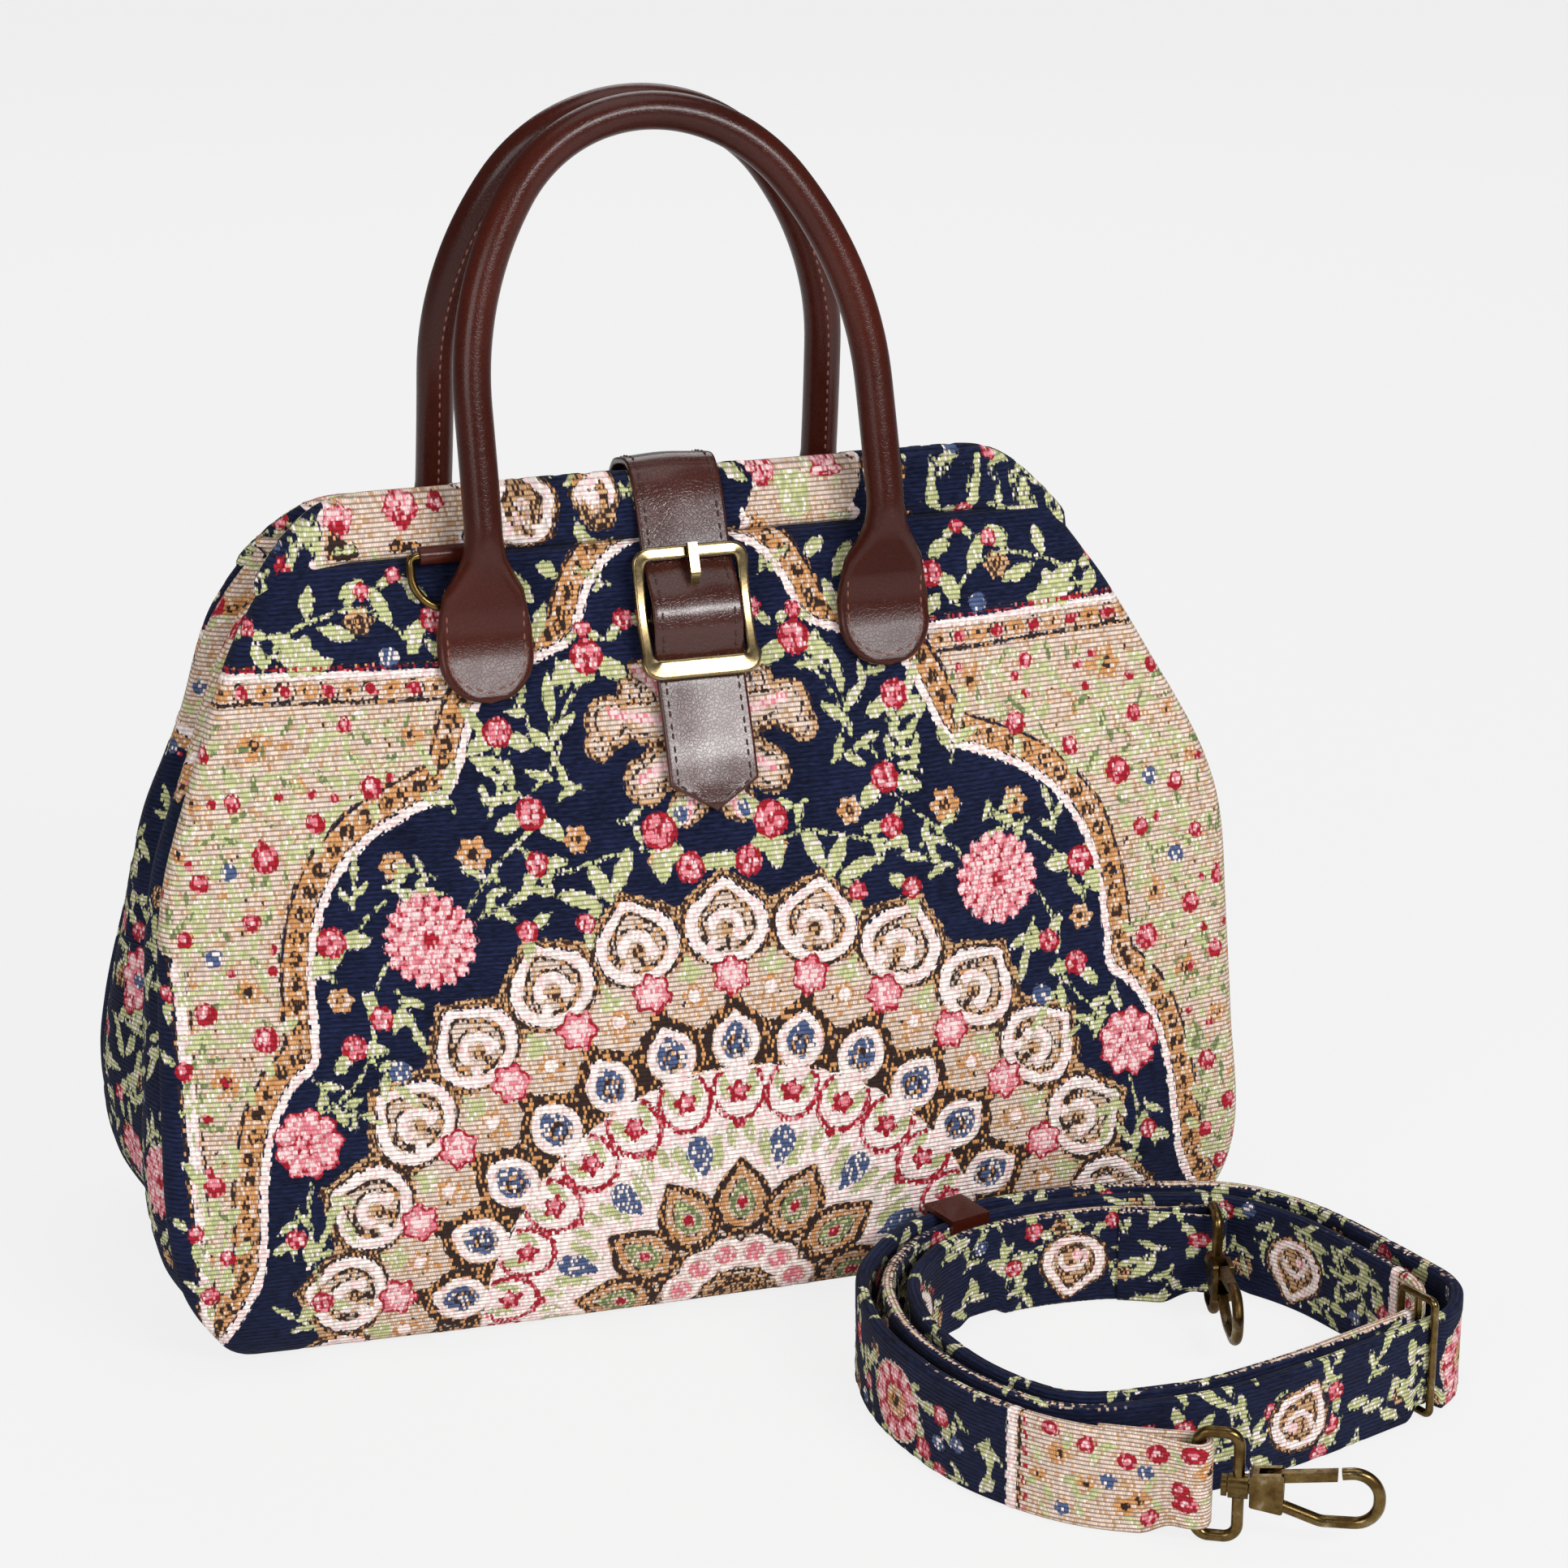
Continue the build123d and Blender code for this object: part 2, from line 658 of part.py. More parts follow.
with BuildPart() as shoulder_strap:
    with BuildLine() as coil:
        FilletPolyline(*coil_route, radius=coil_radii)
    start = Plane(origin=coil.line @ 0, x_dir=(0, 0, 1), z_dir=coil.line % 0)
    with BuildSketch(start.offset(0)):
        with Locations((webbing_width / 2, 0)):
            Rectangle(webbing_width, webbing)
    sweep(path=coil.line)
    for bar in (start_bar, end_bar):
        with BuildSketch():
            with Locations(bar):
                Circle(fold_outer)
        extrude(amount=webbing_width)
        with BuildSketch():
            with Locations(bar):
                Circle(fold_inner)
        extrude(amount=webbing_width, mode=Mode.SUBTRACT)
        with BuildSketch():
            with Locations(bar):
                Circle(notch_radius)
        extrude(amount=eye_notch, mode=Mode.SUBTRACT)
    with BuildSketch(Plane(origin=slider_spots[0], x_dir=slider_run, z_dir=(0, 0, 1))):
        Rectangle(2 * slider_wire + 2 * notch_play, 4 * slider_step)
    extrude(amount=slider_notch, mode=Mode.SUBTRACT)
    with BuildSketch(Plane(origin=keeper_middle, x_dir=keeper_run, z_dir=(0, 0, 1))):
        Rectangle(keeper_width + 2 * notch_play, keeper_step + 2 * webbing)
    extrude(amount=keeper_notch, mode=Mode.SUBTRACT)
write(shoulder_strap, "shoulder_strap")

# Slider: three wire posts with the two outer turns of the strap between them
slider_plane = Plane(
    origin=slider_spots[0] + slider_across * (slider_outside * slider_step / 2),
    x_dir=slider_across * -slider_outside,
    z_dir=slider_run * -slider_outside,
)
post_low = floor_play + slider_wire
post_high = slider_height - slider_wire
with BuildPart() as strap_slider:
    with BuildLine(slider_plane) as frame_path:
        FilletPolyline(
            (0, post_low), (2 * slider_step, post_low), (2 * slider_step, post_high), (0, post_high),
            radius=slider_corner, close=True,
        )
    frame_start = frame_path.line @ 0
    with BuildSketch(Plane(origin=frame_start, z_dir=frame_path.line % 0)):
        Circle(slider_wire)
    sweep(path=frame_path.wire())
    middle_foot = slider_plane.from_local_coords((slider_step, post_low, 0))
    with BuildSketch(Plane(origin=middle_foot, x_dir=slider_run, z_dir=(0, 0, 1))):
        Circle(slider_mid_wire)
    extrude(amount=post_high - post_low)
write(strap_slider, "strap_slider")

# Keeper: a leather band round the two outer turns at the back of the coil
keeper_hole = keeper_step + webbing + 2 * keeper_play
keeper_plane = Plane(origin=keeper_middle, x_dir=keeper_across, z_dir=keeper_run)
keeper_turn = keeper_plane.y_dir.Z
keeper_low = keeper_notch - notch_play
keeper_high = webbing_width + keeper_play
with BuildPart() as strap_keeper:
    with BuildSketch(keeper_plane):
        with Locations((0, keeper_turn * (keeper_high + keeper_leather) / 2)):
            Rectangle(keeper_hole + 2 * keeper_leather, keeper_high + keeper_leather)
        with Locations((0, keeper_turn * (keeper_low + keeper_high) / 2)):
            Rectangle(keeper_hole, keeper_high - keeper_low, mode=Mode.SUBTRACT)
    extrude(amount=keeper_width / 2, both=True)
write(strap_keeper, "strap_keeper")


# Swivel snap hook, drawn once with its strap bar at the origin and its nose along +X
collar_start = eye_reach - collar_half
body_start = eye_reach + collar_half + body_play
stem_start = collar_start - head_play
body_plane = Plane(origin=(body_start, 0, 0), x_dir=(1, 0, 0), z_dir=(0, -1, 0))

with BuildPart() as hook_eye:
    with BuildLine(Plane.XZ) as eye_path:
        FilletPolyline(
            (0, -eye_half), (eye_reach, -eye_half), (eye_reach, eye_half), (0, eye_half),
            radius=eye_corner, close=True,
        )
    with BuildSketch(Plane(origin=eye_path.line @ 0, z_dir=eye_path.line % 0)):
        Circle(eye_wire)
    sweep(path=eye_path.wire())
    with BuildSketch(Plane.YZ.offset(collar_start)):
        Circle(collar_radius)
    extrude(amount=2 * collar_half)
    with BuildSketch(Plane.YZ.offset(collar_start)):
        Circle(stem_radius + stem_play)
    extrude(amount=2 * collar_half, mode=Mode.SUBTRACT)

with BuildPart() as hook_body:
    with BuildSketch(body_plane) as cheeks:
        with BuildLine():
            Polyline(
                (0, -cheek_drop), (cheek_length, -cheek_foot), (cheek_length, cheek_rise),
                (0, cheek_drop), close=True,
            )
        make_face()
        fillet(cheeks.vertices(), cheek_round)
    extrude(amount=cheek_thickness / 2, both=True)
    with BuildLine(body_plane) as claw:
        FilletPolyline(
            (hook_root, -hook_root_drop), (hook_belly, -hook_belly_drop),
            (hook_length - hook_wire, -hook_nose_drop), (hook_length - hook_wire, hook_nose_rise),
            (hook_mouth, hook_mouth_rise),
            radius=hook_nose_bend,
        )
    with BuildSketch(Plane(origin=claw.line @ 0, z_dir=claw.line % 0)):
        Circle(hook_wire)
    sweep(path=claw.line)
    with BuildSketch(body_plane):
        with BuildLine():
            Polyline(
                (gate_slot_start, -gate_slot_floor), (hook_belly / 2 + gate_start, -gate_slot_floor),
                (hook_belly / 2 + gate_start, 2 * cheek_rise), (gate_slot_start, 2 * cheek_rise),
                close=True,
            )
        make_face()
    extrude(amount=gate_slot / 2, both=True, mode=Mode.SUBTRACT)
    with BuildSketch(body_plane):
        with Locations((pin_along, pin_rise)):
            Circle(pin_radius + pin_play)
    extrude(amount=cheek_thickness, both=True, mode=Mode.SUBTRACT)
    with BuildSketch(Plane.YZ.offset(stem_start)):
        Circle(stem_radius)
    extrude(amount=body_start - stem_start + gate_slot_start / 2)
    with BuildSketch(Plane.YZ.offset(stem_start - head_thickness)):
        Circle(head_radius)
    extrude(amount=head_thickness)

with BuildPart() as hook_gate:
    with BuildSketch(body_plane):
        with Locations((pin_along, pin_rise)):
            Circle(gate_ear)
        with BuildLine():
            Polyline(
                (pin_along, pin_rise + gate_ear), (gate_start, gate_start_rise + gate_bar / 2),
                (hook_mouth - gate_gap, gate_end_rise + gate_bar / 2),
                (hook_mouth - gate_gap, gate_end_rise - gate_bar / 2),
                (gate_start, gate_start_rise - gate_bar / 2), (pin_along, pin_rise - gate_ear / 2),
                close=True,
            )
        make_face()
        with Locations((pin_along, pin_rise)):
            Circle(pin_radius + pin_play, mode=Mode.SUBTRACT)
    extrude(amount=gate_thickness / 2, both=True)

with BuildPart() as hook_pin:
    with BuildSketch(body_plane):
        with Locations((pin_along, pin_rise)):
            Circle(pin_radius)
    extrude(amount=cheek_thickness / 2, both=True)

for hook, bar, heading in (("hook_a", start_bar, hook_a_heading), ("hook_b", end_bar, hook_b_heading)):
    for piece, drawn in (("eye", hook_eye), ("body", hook_body), ("gate", hook_gate), ("pin", hook_pin)):
        with BuildPart() as placed:
            with Locations(Location((bar.X, bar.Y, eye_height), (0, 0, heading))):
                add(drawn.part)
        write(placed, f"{hook}_{piece}")
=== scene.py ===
import math

import bmesh
import bpy
import numpy as np
from mathutils import Matrix, Vector


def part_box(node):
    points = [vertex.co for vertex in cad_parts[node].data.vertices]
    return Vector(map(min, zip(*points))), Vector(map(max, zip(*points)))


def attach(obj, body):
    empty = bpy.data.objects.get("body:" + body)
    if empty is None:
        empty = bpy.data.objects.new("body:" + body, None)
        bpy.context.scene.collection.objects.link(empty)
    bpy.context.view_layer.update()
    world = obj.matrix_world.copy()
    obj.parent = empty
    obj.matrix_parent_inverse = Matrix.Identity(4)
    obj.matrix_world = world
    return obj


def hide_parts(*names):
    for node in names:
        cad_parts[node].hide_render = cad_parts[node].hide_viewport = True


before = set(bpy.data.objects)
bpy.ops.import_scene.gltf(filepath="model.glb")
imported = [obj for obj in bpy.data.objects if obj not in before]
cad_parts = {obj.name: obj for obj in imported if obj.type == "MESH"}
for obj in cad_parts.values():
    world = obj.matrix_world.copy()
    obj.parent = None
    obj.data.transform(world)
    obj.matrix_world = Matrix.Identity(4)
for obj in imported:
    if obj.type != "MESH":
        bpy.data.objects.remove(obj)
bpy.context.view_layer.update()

bl_info = {
    "name": "Carpet Bag",
    "version": (1, 0, 0),
    "blender": (4, 5, 0),
    "location": "View3D > Sidebar > Carpet Bag",
    "description": "Tapestry carpet bag with leather handles, a buckled strap and a coiled shoulder strap",
    "category": "Object",
}

MM = 0.001

# Rows of the body from the floor to the casing's seam, as shares of the sizes below
LEVELS = (0, 0.017, 0.05, 0.118, 0.316, 0.506, 0.633, 0.802, 0.907, 1)
WIDTHS = (0.857, 0.897, 0.934, 0.983, 1, 1, 0.98, 0.88, 0.806, 0.72)
DEPTHS = (0.838, 0.932, 0.986, 1, 0.865, 0.676, 0.581, 0.419, 0.338, 0.25)
CROWNS = (0.2, 0.25, 0.25, 0.35, 0.75, 1, 0.85, 0.425, 0.175, 0.05)
FOLDS = (0.05, 0.08, 0.12, 0.2, 0.4, 0.62, 0.75, 0.9, 0.97, 1)
SWELLS = (0, 0.3, 0.6, 1, 1, 1, 1, 0.8, 0.5, 0.2)

# Yarns of the tapestry, in the order in which one covers the other, over the navy ground
YARNS = ("beige", "tan", "gold", "brown", "cream", "sage", "olive", "red", "pink", "rose", "blue")
FAR = 60.0
# For each yarn the one twisted in with it, its share of the stitches and how dark the painted shade in the grooves
# and gaps between them is
SECOND = {
    "beige": ("tan", 0.18, 0.85), "tan": ("brown", 0.36, 0.8), "gold": ("beige", 0.3, 0.72),
    "brown": ("gold", 0.26, 0.6), "cream": ("rose", 0.25, 0.3), "sage": ("cream", 0.2, 0.72),
    "olive": ("sage", 0.35, 0.7), "red": ("pink", 0.22, 0.6), "pink": ("rose", 0.35, 0.5),
    "rose": ("pink", 0.22, 0.36), "blue": ("cream", 0.26, 0.8),
}

# Plan of the coiled strap, as shares of its half sizes, one round
COIL = (
    (-0.405, -0.812), (-0.595, -0.447), (-0.685, 0.024), (-0.64, 0.482), (-0.423, 0.824),
    (-0.09, 0.953), (0.297, 0.93), (0.64, 0.8), (0.81, 0.506), (0.928, 0.06), (1, -0.25),
    (0.919, -0.47), (0.694, -0.576), (0.405, -0.718), (0.045, -0.847),
)
COIL_POINTS = 37
COIL_START = (-0.099, -1.047)
COIL_END = (0.463, 0.565)

# Height of the chenille's pile on the panels, and how near points are welded, in metres
PANEL_PILE = 0.4 * MM
WELD = 0.00001

# How many faces each piece has across and along, or round its section
PANEL_FACES, QUICK_PANEL_FACES = (340, 236), (220, 150)
GUSSET_FACES, BASE_FACES, CASING_FACES = (128, 200), (120, 60), (260, 60)
HANDLE_ROUND, STRAP_ROUND, BUCKLE_ROUND, WEBBING_ROUND = 48, 64, 28, 62

# Closing strap and buckle, in millimetres
STRAP_X = 2.0
STRAP_FOOT = 178
STRAP_HALF = 1.4
BUCKLE_Z = 216.0
# The buckle's bow: how far it stands off at its middle and rises more at its half height
BUCKLE_OFF, BUCKLE_BOW, BUCKLE_HALF = 4.6, 3.9, 20.5

# Lamps with their place in metres, width and power, and what they point at
LAMPS = (
    ("key", (0.52, -1.56, 1.06), 0.34, 25), ("fill", (-1.35, -1.35, 0.9), 0.9, 13),
    ("top", (0.1, -0.1, 1.9), 1.2, 8), ("back", (0.4, 1.6, 1.3), 1.2, 9),
)
LAMP_TARGET = Vector((0.03, -0.05, 0.15))

# Camera: focal length in millimetres, turn and lift in degrees, distance and target in metres
LENS = 94.6
CAMERA_TURN, CAMERA_LIFT, CAMERA_AWAY = -17.37, 19.49, 1.33755
CAMERA_TARGET = Vector((0.0416, 0, 0.146))


def length(name, text, default):
    """A length in metres, given in millimetres."""
    return bpy.props.FloatProperty(name=name, description=text, default=default * MM, unit="LENGTH")


def colour(name, text, red, green, blue):
    """A colour given as it looks on screen, from 0 to 255."""
    linear = [((c / 255 + 0.055) / 1.055) ** 2.4 if c > 10 else c / 255 / 12.92 for c in (red, green, blue)]
    return bpy.props.FloatVectorProperty(
        name=name, description=text, default=linear, subtype="COLOR", size=3, min=0, max=1
    )


class BagSizes(bpy.types.PropertyGroup):
    """Sizes of the bag and its straps"""

    half_width: length("Half width", "Half the width of the bag at its belly", 175)
    panel_height: length("Panel height", "Height of the seam under the casings", 237)
    half_depth: length("Half depth", "Half the depth at the fullest seam", 74)
    crown: length("Crown", "How far the panels bulge in front of their seams", 20)
    fold: length("Gusset fold", "How far the gussets fold in at the top", 24)
    swell: length("Gusset swell", "How far the gussets stand out beside their fold", 3)
    cloth: length("Cloth", "Thickness of the lined tapestry", 3)
    casing_height: length("Casing height", "Height of the casings above the seam", 20)
    handle_half: length("Handle half width", "Half the distance between a handle's legs", 64)
    handle_radius: length("Handle radius", "Radius of the rolled leather", 5.85)
    strap_width: length("Strap width", "Width of the closing strap", 28.4)
    webbing_width: length("Webbing width", "Width of the shoulder strap", 32)
    webbing: length("Webbing", "Thickness of the shoulder strap", 3.6)
    weft: length("Weft", "Height of one row of the weave", 1.4)


class BagColours(bpy.types.PropertyGroup):
    """Yarns, leather and metal"""

    navy: colour("Navy", "Chenille ground", 16, 22, 48)
    beige: colour("Beige", "Flat woven fields", 226, 203, 187)
    tan: colour("Tan", "Edges of the medallion", 206, 164, 122)
    gold: colour("Gold", "Border band", 208, 150, 96)
    brown: colour("Brown", "Outlines", 52, 36, 32)
    cream: colour("Cream", "Raised outlines", 242, 228, 222)
    sage: colour("Sage", "Leaves and stems", 196, 200, 146)
    olive: colour("Olive", "Dark leaves", 120, 134, 88)
    red: colour("Red", "Buds and flower hearts", 164, 26, 42)
    pink: colour("Pink", "Petals", 224, 126, 138)
    rose: colour("Rose", "Light tips of the petals", 244, 204, 204)
    blue: colour("Blue", "Small flowers", 80, 96, 136)
    leather: colour("Leather", "Handles and closing strap", 60, 20, 12)
    edge: colour("Edge paint", "Painted edges of the leather", 62, 30, 24)
    thread: colour("Thread", "Stitches", 120, 74, 60)
    brass: colour("Brass", "Buckle", 148, 130, 94)
    aged: colour("Aged brass", "Snap hooks, slider and rings", 108, 88, 52)
    floor: colour("Floor", "Floor and background", 243, 243, 243)


def sizes():
    return bpy.context.scene.bag_sizes


def paints():
    return bpy.context.scene.bag_colours


# Meshes


def smooth_table(at, xs, ys):
    """Values between the rows of a table, on a curve that doesn't overshoot them."""
    xs, ys = np.asarray(xs, float), np.asarray(ys, float)
    run, rise = np.diff(xs), np.diff(ys)
    slope = rise / run
    tangent = np.concatenate([[slope[0]], (slope[1:] + slope[:-1]) / 2, [slope[-1]]])
    for i in range(1, len(xs) - 1):
        if slope[i - 1] * slope[i] <= 0:
            tangent[i] = 0
    at = np.clip(at, xs[0], xs[-1])
    i = np.clip(np.searchsorted(xs, at) - 1, 0, len(run) - 1)
    t = (at - xs[i]) / run[i]
    return (
        ys[i] * (1 + 2 * t) * (1 - t) ** 2 + tangent[i] * run[i] * t * (1 - t) ** 2
        + ys[i + 1] * t * t * (3 - 2 * t) + tangent[i + 1] * run[i] * t * t * (t - 1)
    )


def ease(at, low, high):
    """0 below low, 1 above high and a smooth step between."""
    t = np.clip((np.asarray(at, float) - low) / (high - low), 0, 1)
    return t * t * (3 - 2 * t)


def grid_mesh(name, across, along):
    """A grid as a mesh, with two shares from 0 to 1 for each vertex."""
    bm = bmesh.new()
    bmesh.ops.create_grid(bm, x_segments=across, y_segments=along, size=1)
    mesh = bpy.data.meshes.new(name)
    bm.to_mesh(mesh)
    bm.free()
    co = read_points(mesh)
    return mesh, (co[:, 0] + 1) / 2, (co[:, 1] + 1) / 2


def read_points(mesh):
    co = np.empty(len(mesh.vertices) * 3, np.float32)
    mesh.vertices.foreach_get("co", co)
    return co.reshape(-1, 3).astype(float)


def write_points(mesh, points):
    mesh.vertices.foreach_set("co", np.asarray(points, np.float32).ravel())
    mesh.update()


def keep(mesh, name, values):
    """Store one number for each vertex."""
    layer = mesh.attributes.new(name, "FLOAT", "POINT")
    layer.data.foreach_set("value", np.asarray(values, np.float32))


def pour(bm, mesh):
    """Write edited geometry to its mesh and shade it smooth."""
    bm.to_mesh(mesh)
    bm.free()
    mesh.polygons.foreach_set("use_smooth", np.ones(len(mesh.polygons), bool))
    mesh.update()


def settle(mesh, weld=0.0, side=0):
    """Weld seams, turn faces outward, an open sheet's toward one side in x, and shade smooth."""
    bm = bmesh.new()
    bm.from_mesh(mesh)
    if weld:
        bmesh.ops.remove_doubles(bm, verts=bm.verts, dist=weld)
    bmesh.ops.recalc_face_normals(bm, faces=bm.faces)
    if side and max(bm.faces, key=lambda f: side * f.calc_center_median().x).normal.x * side < 0:
        bmesh.ops.reverse_faces(bm, faces=bm.faces)
    pour(bm, mesh)


def piece(name, mesh, materials, body, stands_for=()):
    """Put a finished mesh in the scene, on its body and in place of its solids."""
    obj = bpy.data.objects.new(name, mesh)
    bpy.context.scene.collection.objects.link(obj)
    for material in materials:
        mesh.materials.append(material)
    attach(obj, body)
    if stands_for:
        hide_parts(*stands_for)
    return obj


def dress(node, material):
    """Give a solid that stays as it is its finish."""
    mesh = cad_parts[node].data
    mesh.materials.clear()
    mesh.materials.append(material)


def unit(v):
    return v / np.maximum(np.linalg.norm(v, axis=-1, keepdims=True), 1e-12)


def resample(points, step):
    """Points at even steps along a line, and the length before each."""
    points = np.asarray(points, float)
    run = np.concatenate([[0], np.cumsum(np.linalg.norm(np.diff(points, axis=0), axis=1))])
    count = max(int(round(run[-1] / step)), 2)
    at = np.linspace(0, run[-1], count + 1)
    return np.stack([np.interp(at, run, points[:, k]) for k in range(points.shape[1])], 1), at


def rounded(points, passes):
    """A smooth line near a row of corner points, by cutting its corners again and again."""
    p = np.asarray(points, float)
    for _ in range(passes):
        a, b = p[:-1], p[1:]
        cut = np.stack([0.75 * a + 0.25 * b, 0.25 * a + 0.75 * b], 1).reshape(-1, p.shape[1])
        p = np.concatenate([p[:1], cut, p[-1:]])
    return p


def slab(share, wide, thick, corner):
    """Points at even steps round a slab with rounded corners, from the middle of its right edge on."""
    corner = np.minimum(corner, np.minimum(wide, thick))
    quarter = np.floor(share * 4).astype(int) % 4
    part = share * 4 - np.floor(share * 4)
    part = np.where(quarter % 2 == 0, part, 1 - part)
    rise, arc, flat = thick - corner, corner * math.pi / 2, wide - corner
    at = part * (rise + arc + flat)
    turn = np.clip(at - rise, 0, arc) / np.maximum(corner, 1e-9)
    a = wide - corner + corner * np.cos(turn) - np.maximum(at - rise - arc, 0)
    b = np.minimum(at, rise) + corner * np.sin(turn)
    return np.where((quarter == 1) | (quarter == 2), -a, a), np.where(quarter >= 2, -b, b)


def bent(points, radius, steps=9):
    """A line with its corners rounded, as far as the runs beside them leave room."""
    p = np.asarray(points, float)
    rows = [p[:1]]
    t = np.linspace(0, 1, steps)[:, None]
    for before, corner, after in zip(p[:-2], p[1:-1], p[2:]):
        u, v = before - corner, after - corner
        lu, lv = np.linalg.norm(u), np.linalg.norm(v)
        u, v = u / lu, v / lv
        turn = math.pi - math.acos(np.clip(np.dot(u, v), -1, 1))
        cut = min(radius * math.tan(turn / 2), 0.45 * lu, 0.45 * lv)
        rows.append((1 - t) ** 2 * (corner + u * cut) + 2 * t * (1 - t) * corner + t * t * (corner + v * cut))
    return np.concatenate([*rows, p[-1:]])


def sweep(name, path, right, out, wide, thick, corner, around):
    """A closed skin of slab sections along a path, all in millimetres. Returns the mesh, and for each vertex its
    row on the path, its share round the section and its place across it."""
    count = len(path)
    mesh, share, along = grid_mesh(name, around, count - 1)
    row = np.rint(along * (count - 1)).astype(int)
    wide, thick, corner = (np.broadcast_to(np.asarray(v, float), (count,))[row] for v in (wide, thick, corner))
    a, b = slab(share, wide, thick, corner)
    write_points(mesh, (path[row] + right[row] * a[:, None] + out[row] * b[:, None]) * MM)
    return mesh, row, share, a, b


def stitches(name, rows, size):
    """Short sewn stitches, each a small rounded grain, in millimetres. Each row has a place, the way along and the
    way up; size is length, width and height."""
    long, wide, high = size
    bm = bmesh.new()
    for c, t, n in rows:
        t, n = unit(t), unit(n)
        axes = np.stack([t * long / 2, np.cross(n, t) * wide / 2, n * high, c], 1) * MM
        bmesh.ops.create_icosphere(bm, subdivisions=1, radius=1, matrix=Matrix([*axes.tolist(), [0, 0, 0, 1]]))
    bmesh.ops.recalc_face_normals(bm, faces=bm.faces)
    mesh = bpy.data.meshes.new(name)
    pour(bm, mesh)
    return mesh


# Weaving


def toward(degrees, reach):
    """Steps across and up of a reach in a direction, turned from the level."""
    t = math.radians(degrees)
    return reach * math.cos(t), reach * math.sin(t)


def turned(u, v, degrees):
    """Places along and across a figure that is turned from the level."""
    c, s = toward(degrees, 1)
    return u * c + v * s, v * c - u * s


def oval(p, q, wide, high):
    return (np.hypot(p / wide, q / high) - 1) * min(wide, high)


def onion(p, q, wide, high, tip):
    """A round figure with a small point along +q."""
    point = tip * np.exp(-(p / (0.34 * wide)) ** 2) * ease(q, 0, high)
    return oval(p, q - point, wide, high)


def bar(p, q, wide, high):
    return np.maximum(np.abs(p) - wide, np.abs(q) - high)


def star(p, q, radius, bite, count):
    """A disc with a rim of so many waves."""
    return np.hypot(p, q) - radius - bite * np.cos(count * np.arctan2(p, q))


def spokes(r, a, step, shift=0.0):
    """Places across and along the nearest of the spokes that stand one step apart."""
    fold = (a + shift + step / 2) % step - step / 2
    return r * np.sin(fold), r * np.cos(fold)


# Rings of petals: how many, and their place, length and width as shares of the flower's radius
HEART = (5, 0.22, 0.3, 0.28)


def rosette(count):
    return (count, 0.62, 0.6, 0.44), HEART


def dahlia(*counts):
    return tuple(zip(counts, (0.83, 0.56, 0.3), (0.34, 0.34, 0.3), (0.26, 0.26, 0.26)))


